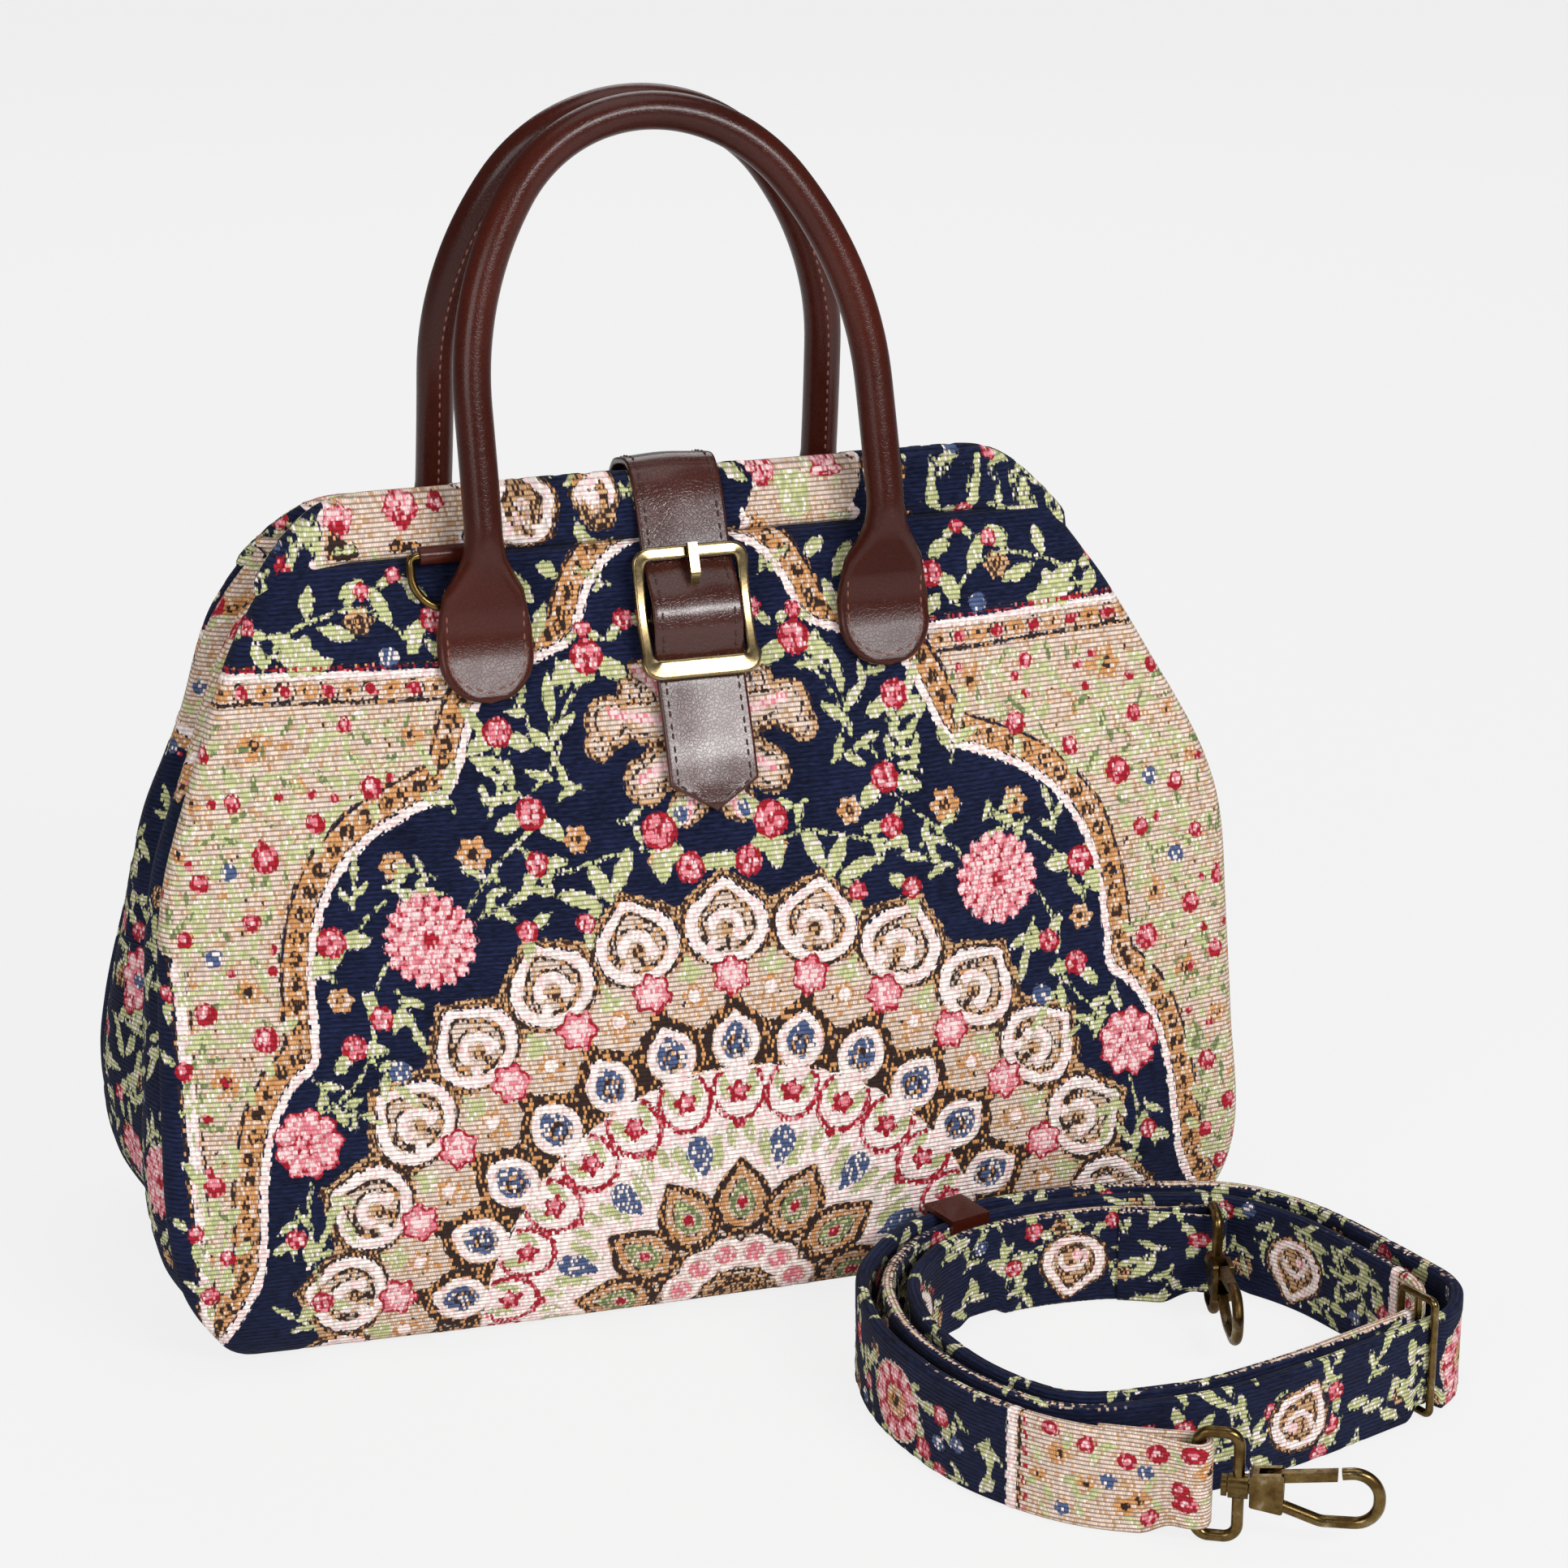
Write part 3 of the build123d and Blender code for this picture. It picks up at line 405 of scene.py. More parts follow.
class Loom:
    """Signed distances, in millimetres, from each vertex to the figures of each yarn."""

    def __init__(self, x, z):
        self.x, self.z = np.asarray(x, float), np.asarray(z, float)
        self.yarn = {name: np.full(len(self.x), FAR) for name in YARNS}

    def put(self, yarn, distance, where=slice(None)):
        kept = self.yarn[yarn]
        kept[where] = np.minimum(kept[where], distance)

    def bands(self, field, rows, off=-FAR, where=slice(None)):
        """Lines along a field, each with its yarn, place and half width, kept off a figure."""
        for yarn, place, half in rows:
            self.put(yarn, np.maximum(np.abs(field - place) - half, off), where)

    def clear(self, distance, names=YARNS, where=slice(None)):
        """Cut a figure out of the yarns named, down to what lies under them."""
        for name in names:
            self.yarn[name][where] = np.maximum(self.yarn[name][where], -distance)

    def near(self, x, z, reach):
        where = np.nonzero((np.abs(self.x - x) < reach) & (np.abs(self.z - z) < reach))[0]
        return where, self.x[where] - x, self.z[where] - z

    def disc(self, yarn, x, z, radius):
        where, u, v = self.near(x, z, radius + 6)
        self.put(yarn, np.hypot(u, v) - radius, where)

    def ring(self, yarn, x, z, radius, half):
        where, u, v = self.near(x, z, radius + 8)
        self.put(yarn, np.abs(np.hypot(u, v) - radius) - half, where)

    def leaf(self, yarn, x, z, long, wide, turn):
        """A pointed leaf about its middle, turned from the level in degrees."""
        where, u, v = self.near(x, z, long / 2 + 6)
        p, q = turned(u, v, turn)
        a, b = long / 2, wide / 2
        r = (a * a + b * b) / (2 * b)
        self.put(yarn, np.hypot(p, np.abs(q) + r - b) - r, where)

    def line(self, yarn, points, half):
        for (x0, z0), (x1, z1) in zip(points[:-1], points[1:]):
            du, dv = x1 - x0, z1 - z0
            where, u, v = self.near((x0 + x1) / 2, (z0 + z1) / 2, max(abs(du), abs(dv)) / 2 + half + 5)
            u, v = u + du / 2, v + dv / 2
            t = np.clip((u * du + v * dv) / max(du * du + dv * dv, 1e-9), 0, 1)
            self.put(yarn, np.hypot(u - t * du, v - t * dv) - half, where)

    def stem(self, points, half=0.5):
        self.line("sage", rounded(points, passes=2), half)

    def sprig(self, x, z, turn, size=1.0):
        """Three leaves on a short stem."""
        dx, dz = toward(turn, 8 * size)
        self.stem([(x, z), (x + dx, z + dz)])
        for share, swing, long in ((0.3, 50, 9.5), (0.65, -46, 9.5), (1.2, 4, 12.5)):
            lx, lz = toward(turn + swing, long * size * 0.42)
            self.leaf("sage", x + share * dx + lx, z + share * dz + lz, long * size, 3.0 * size, turn + swing)

    def bud(self, x, z, radius, turn=90):
        """A small red flower with two leaves under it."""
        for swing in (-62, 62):
            dx, dz = toward(turn + 180 + swing, 1.5 * radius)
            self.leaf("sage", x + dx, z + dz, radius * 2.4, radius * 1.1, turn + swing)
        self.disc("red", x, z, radius)
        for k in range(4):
            dx, dz = toward(turn + 45 + 90 * k, 0.5 * radius)
            self.disc("pink", x + dx, z + dz, radius * 0.3)

    def daisy(self, x, z, radius, tone="gold"):
        """A flower of the flat weave: a tone with a waved rim, a dark ring and a light heart."""
        where, u, v = self.near(x, z, radius + 6)
        self.put(tone, star(v, u, 0.9 * radius, 0.14 * radius, 6), where)
        self.disc("brown", x, z, radius * 0.36)
        self.disc("beige", x, z, radius * 0.16)

    def bloom(self, x, z, radius, rings):
        """A full flower: a red ground under rings of pink petals with light tips."""
        where, u, v = self.near(x, z, radius + 6)
        self.put("red", star(v, u, 0.93 * radius, 0.07 * radius, rings[0][0]), where)
        r, a = np.hypot(u, v), np.arctan2(v, u)
        for count, place, long, wide in rings:
            q, p = spokes(r, a, 2 * math.pi / count, (count % 3) * 0.4)
            for yarn, shift, share in (("pink", 0, 1), ("rose", 0.12 * long, 0.62)):
                size = radius / 2 * share
                self.put(yarn, oval(p - (place + shift) * radius, q, long * size, wide * size), where)

    def scroll(self, x, z, radius, turn=0):
        """A curled cream figure on a tan ground, outlined in brown."""
        where, u, v = self.near(x, z, radius + 8)
        p, q = turned(u, v, turn)
        drop = onion(p, q, 0.98 * radius, 0.86 * radius, 0.3 * radius)
        self.clear(drop - 0.6, YARNS, where)
        self.put("tan", drop, where)
        self.bands(drop, (("brown", -0.5, 0.55), ("cream", -2.5, 1.3), ("brown", -4.4, 0.5)), where=where)
        curl = np.hypot(p + 0.06 * radius, q + 0.12 * radius)
        self.bands(curl, (("cream", 0.36 * radius, 1.1),), -q - 0.3 * radius - 0.4 * p, where)
        self.put("rose", np.hypot(p - 0.1 * radius, q + 0.2 * radius) - 0.16 * radius, where)


# Figures of the panel's right half, in millimetres from its middle and the floor; the left half mirrors them.
# The cartouche's edge, from the top down
CARTOUCHE = (
    (8, 241), (18, 238), (28, 231), (34, 220), (36, 212), (45, 208), (58, 205), (70, 196), (75, 183), (80, 171.5),
    (94, 166.5), (108, 160), (120, 148), (127, 131), (128.5, 108), (128, 96.5), (136, 92), (144, 79), (147.5, 62),
    (148.5, 46), (150, 33), (157, 19), (166, 6), (172, -14),
)
MIDDLE = 1.5
# Red buds: place, radius and heading in degrees
BUDS = (
    (121, 131, 4.6, 60), (57, 164, 4.6, 100), (57, 150, 3.6, 60), (33.5, 206, 5.2, 90), (108, 108, 3.6, -60),
    (62, 131, 3.4, 30), (34, 214, 2.6, 90), (64, 187, 4.4, 90), (117, 100, 3.8, 70), (139, 44, 3.2, 90),
    (132, 22, 3.6, 80), (18, 156, 5.6, 30), (9.5, 145, 4.6, -70), (44, 132, 3.0, 20), (21, 216, 3.0, 70),
    (101, 230, 2.6, 90), (80, 221, 4.2, 90), (137, 222, 2.6, 90), (91, 234, 2.4, 90),
)
# Flat flowers: place, radius and yarn
DAISIES = (
    (76, 154, 5.2, "gold"), (100, 152, 4.4, "gold"), (44, 156, 4.2, "gold"), (120, 114, 4.0, "gold"),
    (19, 148, 3.8, "gold"), (122, 213, 6.4, "sage"), (103, 222, 4.6, "tan"), (68, 214, 4.2, "tan"),
)
# Sprigs of three leaves: place, heading and size
SPRIGS = (
    (80, 166, 68, 1.1), (62, 176, 60, 1.15), (70, 164, 120, 0.9), (48, 178, 95, 1.2), (58, 168, 40, 0.9),
    (104, 146, 190, 0.9), (114, 140, 100, 0.8), (103, 116, 250, 1.0), (76, 136, 160, 0.9), (66, 143, 30, 0.8),
    (121, 118, 80, 0.9), (112, 96, 230, 1.0), (130, 92, 240, 0.9), (128, 58, 250, 0.9), (138, 54, 280, 0.8),
    (136, 34, 120, 0.8), (134, 12, 40, 0.8), (43, 196, 130, 1.0), (54, 190, 60, 0.8), (40, 170, 20, 0.9),
    (30, 160, 200, 0.8), (52, 140, 60, 0.9), (24, 226, 30, 0.6), (123, 84, 210, 0.7), (88, 148, 20, 0.7),
)
# Stems on the navy ground and on the beige corners
STEMS = (
    ((57, 160), (63, 156), (72, 148), (80, 138)), ((105, 124), (112, 112), (110, 100), (118, 88), (128, 82)),
    ((36, 200), (44, 190), (46, 178), (56, 170)), ((118, 127), (112, 136), (104, 142)),
    ((133, 62), (136, 50), (133, 34), (134, 22)), ((18, 150), (30, 152), (44, 148), (56, 146)),
    ((86, 212), (94, 222), (104, 226), (114, 224), (126, 220), (134, 208)),
)
CORNER_STEMS = (
    ((92, 182), (100, 180), (104, 172), (114, 170), (122, 160)), ((112, 190), (120, 184), (128, 180), (138, 178)),
    ((138, 160), (146, 160), (154, 164), (160, 158)), ((140, 148), (148, 146), (152, 136), (160, 132)),
    ((142, 126), (150, 130), (156, 120), (164, 118)), ((145, 110), (152, 102), (160, 104), (168, 106)),
    ((158, 86), (164, 88), (170, 84)), ((158, 74), (162, 66), (168, 60), (164, 50)),
    ((160, 46), (164, 36), (168, 30)),
)
# Single leaves in sets of one length and width: place and heading
LEAVES = (
    (15, 5, ((38, 143, 62), (31, 146, 118), (45, 139, 20))),
    (13, 4.4, ((96, 226, 60), (52, 228, 55))),
    (12, 4.4, ((110, 219, 20), (86, 216, 120), (47, 217, 110), (74, 223, 75))),
    (10, 4.4, ((126, 217, 40), (118, 228, 100))),
    (9, 4.4, (
        (84, 228, 30), (104, 231, 150), (134, 214, 70), (56, 216, 20), (80, 212, 45), (62, 232, 140), (116, 210, 160),
    )),
    (8, 4.4, ((43, 232, 40),)),
    (10, 3.4, (
        (98, 190, 30), (118, 188, 140), (108, 182, 200), (130, 168, 60), (114, 176, 20), (134, 172, 120),
        (150, 164, 70), (128, 158, 150), (150, 142, 40), (160, 142, 110), (142, 122, 80), (154, 108, 30),
        (164, 104, 140), (150, 90, 70), (162, 84, 20), (156, 70, 100), (168, 66, 50), (158, 52, 120), (167, 38, 70),
        (146, 180, 30), (160, 164, 140),
    )),
)
# Small flowers of the beige corners: place, radius and yarn
CORNER_FLOWERS = (
    (110, 192, 2.9, "red"), (90, 188, 3.8, "gold"), (104, 174, 4.0, "red"), (138, 188, 5.4, "gold"),
    (126, 176, 3.0, "gold"), (122, 165, 3.4, "red"), (146, 172, 3.0, "red"), (138, 156, 4.8, "red"),
    (149, 153, 3.0, "blue"), (158, 150, 3.4, "red"), (144, 138, 3.2, "red"), (156, 128, 3.4, "blue"),
    (164, 134, 3.0, "red"), (147, 118, 4.4, "gold"), (160, 112, 3.8, "red"), (143, 104, 4.6, "red"),
    (168, 96, 3.4, "red"), (156, 92, 5.0, "gold"), (167, 76, 3.2, "gold"), (162, 62, 3.8, "red"),
    (169, 48, 3.2, "red"), (160, 40, 3.0, "red"), (166, 28, 3.4, "red"), (158, 172, 2.8, "gold"),
    (171, 118, 2.8, "red"), (154, 186, 2.8, "red"), (164, 158, 2.8, "gold"),
)


def edge_distance(edge, side, z):
    """Distance outward from the cartouche's edge, below zero inside it."""
    gap = np.full(len(z), 1e3)
    for (x0, z0), (x1, z1) in zip(edge[:-1], edge[1:]):
        du, dv = x1 - x0, z1 - z0
        t = np.clip(((side - x0) * du + (z - z0) * dv) / (du * du + dv * dv), 0, 1)
        gap = np.minimum(gap, np.hypot(side - x0 - t * du, z - z0 - t * dv))
    return np.where(side < np.interp(-z, -edge[:, 1], edge[:, 0]), -gap, gap)


def weave_panel(loom):
    """The large panel: a navy cartouche with a half medallion, beige corners and a navy top."""
    x, z = loom.x - MIDDLE, loom.z
    side = np.abs(x)
    edge = rounded(CARTOUCHE, passes=3)
    out = edge_distance(edge, side, z)
    row = z - (197.5 + 0.04 * np.minimum(side - 80, 60))
    corner = np.maximum(9.0 - out, row)
    loom.put("beige", corner)

    # The border band along the edge, with its row of rings
    band_middle = 5.1
    loom.bands(out, (("gold", band_middle, 3.7), ("cream", 0.2, 1.25), ("brown", 9.3, 0.55), ("brown", 1.75, 0.3)))
    band, _ = resample(edge, 6.3)
    for (px, pz), (tx, tz) in zip(band, unit(np.gradient(band, axis=0))):
        cz = pz + band_middle * tx
        for s in (-1, 1) if cz > -4 else ():
            cx, dx, dz = MIDDLE + s * (px - band_middle * tz), 1.9 * tx * s, 1.9 * tz
            loom.ring("brown", cx, cz, 1.5, 0.62)
            loom.line("brown", [(cx - dx, cz - dz), (cx + dx, cz + dz)], 0.6)

    # The strip over the corners, with gold and red flowers in turn
    beyond = 9.6 - out
    loom.bands(row, (
        ("beige", 4.9, 4.4), ("cream", 8.2, 1.25), ("red", 10.1, 0.5), ("brown", 10.9, 0.4), ("brown", 0, 0.5),
    ), beyond)
    cell, row = (side + 3) % 13 - 6.5, row - 3.6
    other = np.abs(cell) - 6.5
    for yarn, figure in (
        ("gold", np.hypot(cell * 0.8, row) - 2.6), ("red", np.hypot(other * 0.9, row) - 1.9),
        ("brown", np.hypot(cell, row) - 0.9), ("brown", np.abs(np.hypot(other, row) - 2.8) - 0.35),
    ):
        loom.put(yarn, np.maximum(figure, beyond))

    fine = Loom(loom.x, loom.z)
    rng = np.random.default_rng(2)
    for span in ((-178, -74), (74, 178)):
        scatter(fine, rng, span, (8, 198), 5.2, "fine")
    for name in YARNS:
        loom.put(name, np.maximum(fine.yarn[name], corner + 1.2))

    # The left seam's stripe
    above = z - 128 + 0.6 * (x + 168)
    loom.clear(np.maximum(168 + x, above))
    loom.bands(-x, (("cream", 167.2, 1.8), ("brown", 164.8, 0.6), ("brown", 169.6, 0.6)), above)

    weave_medallion(loom)
    weave_palmette(loom)
    for s in (-1, 1):
        weave_half(loom, s)


def weave_half(loom, s):
    """Flowers and leaves of the panel's left half, for s = -1, or its right half, for s = 1."""
    def at(px, pz):
        return MIDDLE + s * px, pz

    def heading(turn):
        return turn if s > 0 else 180 - turn

    loom.bloom(*at(91.5, 130), 14.2, dahlia(17, 13, 8))
    loom.bloom(*at(133.5, 73), 11, rosette(9))
    for px, pz, radius, turn in BUDS:
        loom.bud(*at(px, pz), radius, heading(turn))
    for px, pz, radius, tone in DAISIES:
        loom.daisy(*at(px, pz), radius, tone)
    for px, pz, turn, size in SPRIGS:
        loom.sprig(*at(px, pz), heading(turn), size)
    for lines, half in ((STEMS, 0.5), (CORNER_STEMS, 0.8)):
        for points in lines:
            loom.stem([at(*p) for p in points], half)
    for long, wide, places in LEAVES:
        for px, pz, turn in places:
            loom.leaf("sage", *at(px, pz), long, wide, heading(turn))
    for px, pz, radius in ((104, 92, 3.4), (10, 160, 2.4), (95, 211, 3.0)):
        loom.disc("blue", *at(px, pz), radius)
    for px, pz, radius, tone in CORNER_FLOWERS:
        if tone == "gold":
            loom.daisy(*at(px, pz), radius)
            continue
        loom.disc(tone, *at(px, pz), radius * 0.85)
        loom.disc("pink" if tone == "red" else "cream", *at(px + 0.5, pz + 0.7), radius * 0.42)
        for swing in (35, 150, 270):
            dx, dz = toward(swing, 1.7 * radius)
            loom.leaf("sage", *at(px + dx, pz + dz), 7.4, 2.8, heading(swing))


def weave_medallion(loom):
    """Half a round medallion on the base: rings of scrolls, flowers, drops, petals and tulips."""
    u, v = loom.x - MIDDLE - 0.5, loom.z - 1
    r, a = np.hypot(u, v), np.arctan2(u, v)
    step = math.radians(13.3)
    p, q = spokes(r, a, step)
    hp, hq = spokes(r, a, step, step / 2)
    rise = q - 126.0

    # Rim of scrolls
    bulb = onion(p, rise, 11.6, 9.6, 3.0)
    rim = np.min([
        r - 124, bulb - 4.2,
        bar(p, q - 138.4, 6.2, 1.6), bar(p, q - 141.4, 1.3, 2.0), bar(hp, hq - 131.5, 2.2, 2.5),
    ], axis=0)
    loom.clear(rim - 1.2)
    loom.put("tan", rim)
    loom.put("beige", np.minimum(r - 119, bulb))
    loom.clear(np.minimum(r - 117.5, bulb - 1.5), ("tan",))
    loom.bands(bulb, (("brown", 2.1, 0.75), ("cream", 0, 1.5), ("brown", -2.2, 0.7)))
    arch = np.hypot(p + 0.6, rise + 0.8)
    loom.bands(arch, (("brown", 6.3, 0.6),), -rise - 4.6)
    loom.bands(arch, (("cream", 4.4, 1.5),), -rise - 3.2 - 0.35 * p)
    for yarn, x, z, radius in (("cream", -5.2, -5.0, 1.8), ("cream", 4.4, -3.0, 1.7), ("tan", 0, -1.6, 2.3)):
        loom.put(yarn, np.hypot(p - x, rise - z) - radius)
    loom.put("brown", bar(p, rise + 5.6, 0.9, 2.4))

    # Flowers between the scrolls and the drops
    for yarn, reach in (("red", 5.9), ("pink", 4.8), ("rose", 2.9)):
        loom.put(yarn, star(p, q - 111, reach, 0.7, 6))
    for z, wide, high in ((113.5, 4.2, 2.4), (116, 1.5, 3.4)):
        loom.put("sage", oval(hp, hq - z, wide, high))
    for yarn, x, z, radius in (
        ("gold", 2.0, 104.5, 1.4), ("cream", 0, 107, 2.0), ("gold", 0, 101.2, 1.3), ("brown", 3.6, 105, 0.7),
    ):
        loom.put(yarn, np.hypot(np.abs(hp) - x, hq - z) - radius)
    loom.put("gold", star(hp, hq - 108, 3.0, 0.9, 4))
    loom.put("brown", bar(p, q - 101.2, 2.6 + 0.16 * (105 - q), 4.6))

    # Drops
    drop = onion(p, q - 90.6, 7.3, 7.9, 1.5)
    loom.bands(drop, (("brown", 1.9, 1.7),), 81.5 - r)
    loom.bands(r + 34 * np.abs(np.arctan2(p, q)), (("brown", 99.4, 1.2),))
    loom.put("brown", bar(hp, hq - 86, 2.2, 3.0))
    loom.bands(drop, (("cream", -1.3, 1.5),))
    loom.put("blue", drop + 2.6)
    loom.put("brown", np.hypot(p, q - 90) - 3.6)
    loom.clear(np.abs(np.hypot(p, (q - 89.6) * 0.8) - 2.2) - 0.6, ("blue",))

    # Scallops
    loom.bands(r, (("cream", 57, 26),))
    loom.put("beige", r - 40)
    off = 2.4 - drop
    scallop = (np.hypot(p / 8.1, (q - 75.4) / 9.2) - 1) * 8
    loom.bands(scallop, (("red", 0, 0.75),), off)
    lean = np.abs(p) - 4.2 - 0.25 * (q - 76)
    loom.put("sage", np.maximum(oval(lean, q - 77.4, 1.9, 4.6), off))
    loom.put("red", np.maximum(star(p, q - 75, 3.3, 0.8, 5), off))
    loom.put("pink", np.hypot(p - 0.6, q - 75.6) - 1.7)

    # Petals and tulips, half as many
    p, q = spokes(r, a, 2 * step)
    hp, hq = spokes(r, a, 2 * step, step)
    lean = np.abs(hp) - 5.2 - 0.25 * (hq - 56)
    loom.put("sage", oval(lean, hq - 57, 2.2, 6.2))
    loom.put("blue", onion(hp, 58.5 - hq, 4.1, 5.6, 3.0))
    loom.put("brown", np.hypot(hp, hq - 59) - 1.3)
    loom.put("sage", oval(np.abs(p) - 2.8, q - 62, 1.6, 4.4))
    loom.put("red", np.hypot(p, q - 65) - 1.7)
    tulip = onion(p, q - 38.5, 8.6, 10.4, 3.6)
    loom.clear(tulip - 1.4, ("cream", "sage"))
    loom.put("beige", tulip)
    loom.bands(tulip, (("brown", 0, 1.3), ("gold", -2.6, 1.2), ("brown", -4.0, 0.4), ("olive", -5.4, 0.9)))
    loom.put("red", tulip + 7.0)
    loom.put("brown", np.hypot(hp, hq - 36) - 2.2)
    bead = np.hypot(hp, hq - 20.5)
    loom.put("pink", bead - 3.4)
    loom.bands(bead, (("cream", 4.9, 1.2), ("brown", 6.6, 0.5)))
    loom.put("tan", r - 12)
    loom.bands(r, (("brown", 27.5, 0.9), ("brown", 9, 1.0), ("brown", 13, 0.7)))


def weave_palmette(loom):
    """The pale fan of leaves under the closing strap."""
    figure = Loom(loom.x, loom.z)
    ribs = []
    for s in (-1, 1):
        for px, pz, long, wide, turn in (
            (16, 187, 34, 14, 12), (13, 196, 22, 10, 44), (13, 174, 24, 13, -22), (6, 164, 17, 10, -62),
            (4, 190, 30, 12, 84),
        ):
            turn, px = turn if s > 0 else 180 - turn, MIDDLE + s * px
            figure.leaf("beige", px, pz, long, wide, turn)
            dx, dz = toward(turn, 0.36 * long)
            ribs.append(((px - dx, pz - dz), (px + dx, pz + dz)))
        for px, pz, radius in ((29, 187, 7.2), (33, 181, 4.2), (20, 170, 6.6), (9, 162, 4.6), (20, 195, 4.8)):
            figure.disc("beige", MIDDLE + s * px, pz, radius)
    figure.disc("beige", MIDDLE, 176, 12)
    body = figure.yarn["beige"]
    loom.clear(body - 0.8)
    loom.put("beige", body)
    loom.bands(body, (("tan", -0.5, 0.9), ("brown", -2.6, 0.4)))
    for rib in ribs:
        loom.line("rose", rib, 1.4)
    loom.bloom(MIDDLE, 176, 6.5, rosette(8))


def weave_gusset(loom):
    """The sides: beige above with sprigs, a navy field with flowers below and a border between."""
    border = loom.z - 168 - 0.33 * np.abs(loom.x)
    loom.put("beige", 6 - border)
    loom.bands(border, (("cream", 6, 1.5), ("gold", 2, 2.2), ("red", -1.6, 0.5)))
    rng = np.random.default_rng(11)
    scatter(loom, rng, (-76, 76), (172, 240), 6.5, "field")
    scatter(loom, rng, (-78, 78), (4, 158), 10.5, "ground")
    flowers = (20, 96, 11, rosette(9)), (62, 58, 12, dahlia(15, 11, 7)), (24, 36, 9, rosette(8))
    for px, pz, radius, rings in flowers:
        for s in (-1, 1):
            loom.bloom(s * px, pz, radius, rings)


def scatter(loom, rng, span_x, span_z, pitch, kind, keep_off=()):
    """Leaves, buds and small flowers strewn over a field at about one pitch."""
    rows = int((span_z[1] - span_z[0]) / pitch)
    count = int((span_x[1] - span_x[0]) / pitch)
    for j in range(rows):
        for i in range(count):
            px = span_x[0] + (i + 0.5 + 0.5 * (j % 2) + rng.uniform(-0.3, 0.3)) * pitch
            pz = span_z[0] + (j + 0.5 + rng.uniform(-0.3, 0.3)) * pitch
            pick, turn = rng.random(), rng.uniform(0, 360)
            if any(math.hypot(px - x, pz - z) < reach for x, z, reach in keep_off):
                continue
            if kind == "fine":
                if pick < 0.62:
                    yarn = "sage" if pick < 0.3 else "olive"
                    loom.leaf(yarn, px, pz, rng.uniform(5, 9), rng.uniform(1.3, 2.1), turn)
                elif pick < 0.72:
                    loom.leaf("tan", px, pz, rng.uniform(3, 6), 1.3, turn)
                elif pick < 0.8:
                    loom.disc("gold", px, pz, 1.5)
                elif pick < 0.86:
                    loom.disc("red", px, pz, 1.4)
            elif kind == "field":
                if pick < 0.45:
                    loom.leaf("sage", px, pz, rng.uniform(6, 9), 2.6, turn)
                elif pick < 0.62:
                    loom.disc("red", px, pz, rng.uniform(2.4, 3.6))
                    loom.disc("pink", px, pz, 1.2)
                elif pick < 0.75:
                    loom.daisy(px, pz, rng.uniform(2.6, 4.2))
                elif pick < 0.82:
                    loom.disc("blue", px, pz, 2.4)
            elif pick < 0.5:
                loom.sprig(px, pz, turn, rng.uniform(0.7, 1.0))
            elif pick < 0.66:
                loom.bud(px, pz, rng.uniform(2.6, 3.8), turn)
            elif pick < 0.76:
                loom.daisy(px, pz, rng.uniform(3.0, 4.4), "tan")
            elif pick < 0.95:
                loom.leaf("sage", px, pz, rng.uniform(8, 11), 4, turn)
            else:
                loom.disc("blue", px, pz, 2.6)


def weave_casing(loom):
    """The bands along the mouth, cut from another part of the cloth."""
    x, z = loom.x, loom.z
    wave = 3.2 * np.sin(z * 0.3) + 1.4 * np.sin(z * 0.9 + 1)
    light = np.minimum(np.abs(x + 88 + wave) - 23, np.abs(x - 43 + wave) - 18)
    loom.put("beige", light)
    loom.bands(light, (("cream", 0, 1.2), ("brown", -2.4, 0.4)))
    rng = np.random.default_rng(5)
    for span_x, span_z, pitch, kind, keep_off in (
        ((-62, 24), (-4, 56), 9.5, "ground", ((-45, 14, 16),)), ((62, 134), (-4, 56), 9.5, "ground", ()),
        ((26, 60), (-2, 52), 8, "field", ()), ((-112, -64), (-2, 52), 7, "field", ((-104, 13, 9), (-85, 15, 10))),
        ((-136, -112), (-12, 56), 7.5, "ground", ()),
    ):
        scatter(loom, rng, span_x, span_z, pitch, kind, keep_off)
    for px, pz, radius in ((-104, 13, 5.6), (-85, 15, 6.4), (-95, 34, 6), (51, 17, 5.4), (30, 19, 4.6)):
        loom.bloom(px, pz, radius, rosette(8))
        loom.line("brown", [(px - 3, pz - radius - 3), (px + 3, pz - radius - 3)], 2.2)
    for px, pz, radius, turn in ((-47, 12, 12.5, 10), (-24, 13, 9, -30), (-47, 34, 10, 170), (70, 12, 8.5, 40)):
        loom.scroll(px, pz, radius, turn)
    loom.bands(np.hypot(x - 40, z - 11), (("sage", 5.2, 1.9),))
    loom.leaf("olive", 40, 11, 8, 2.6, 60)


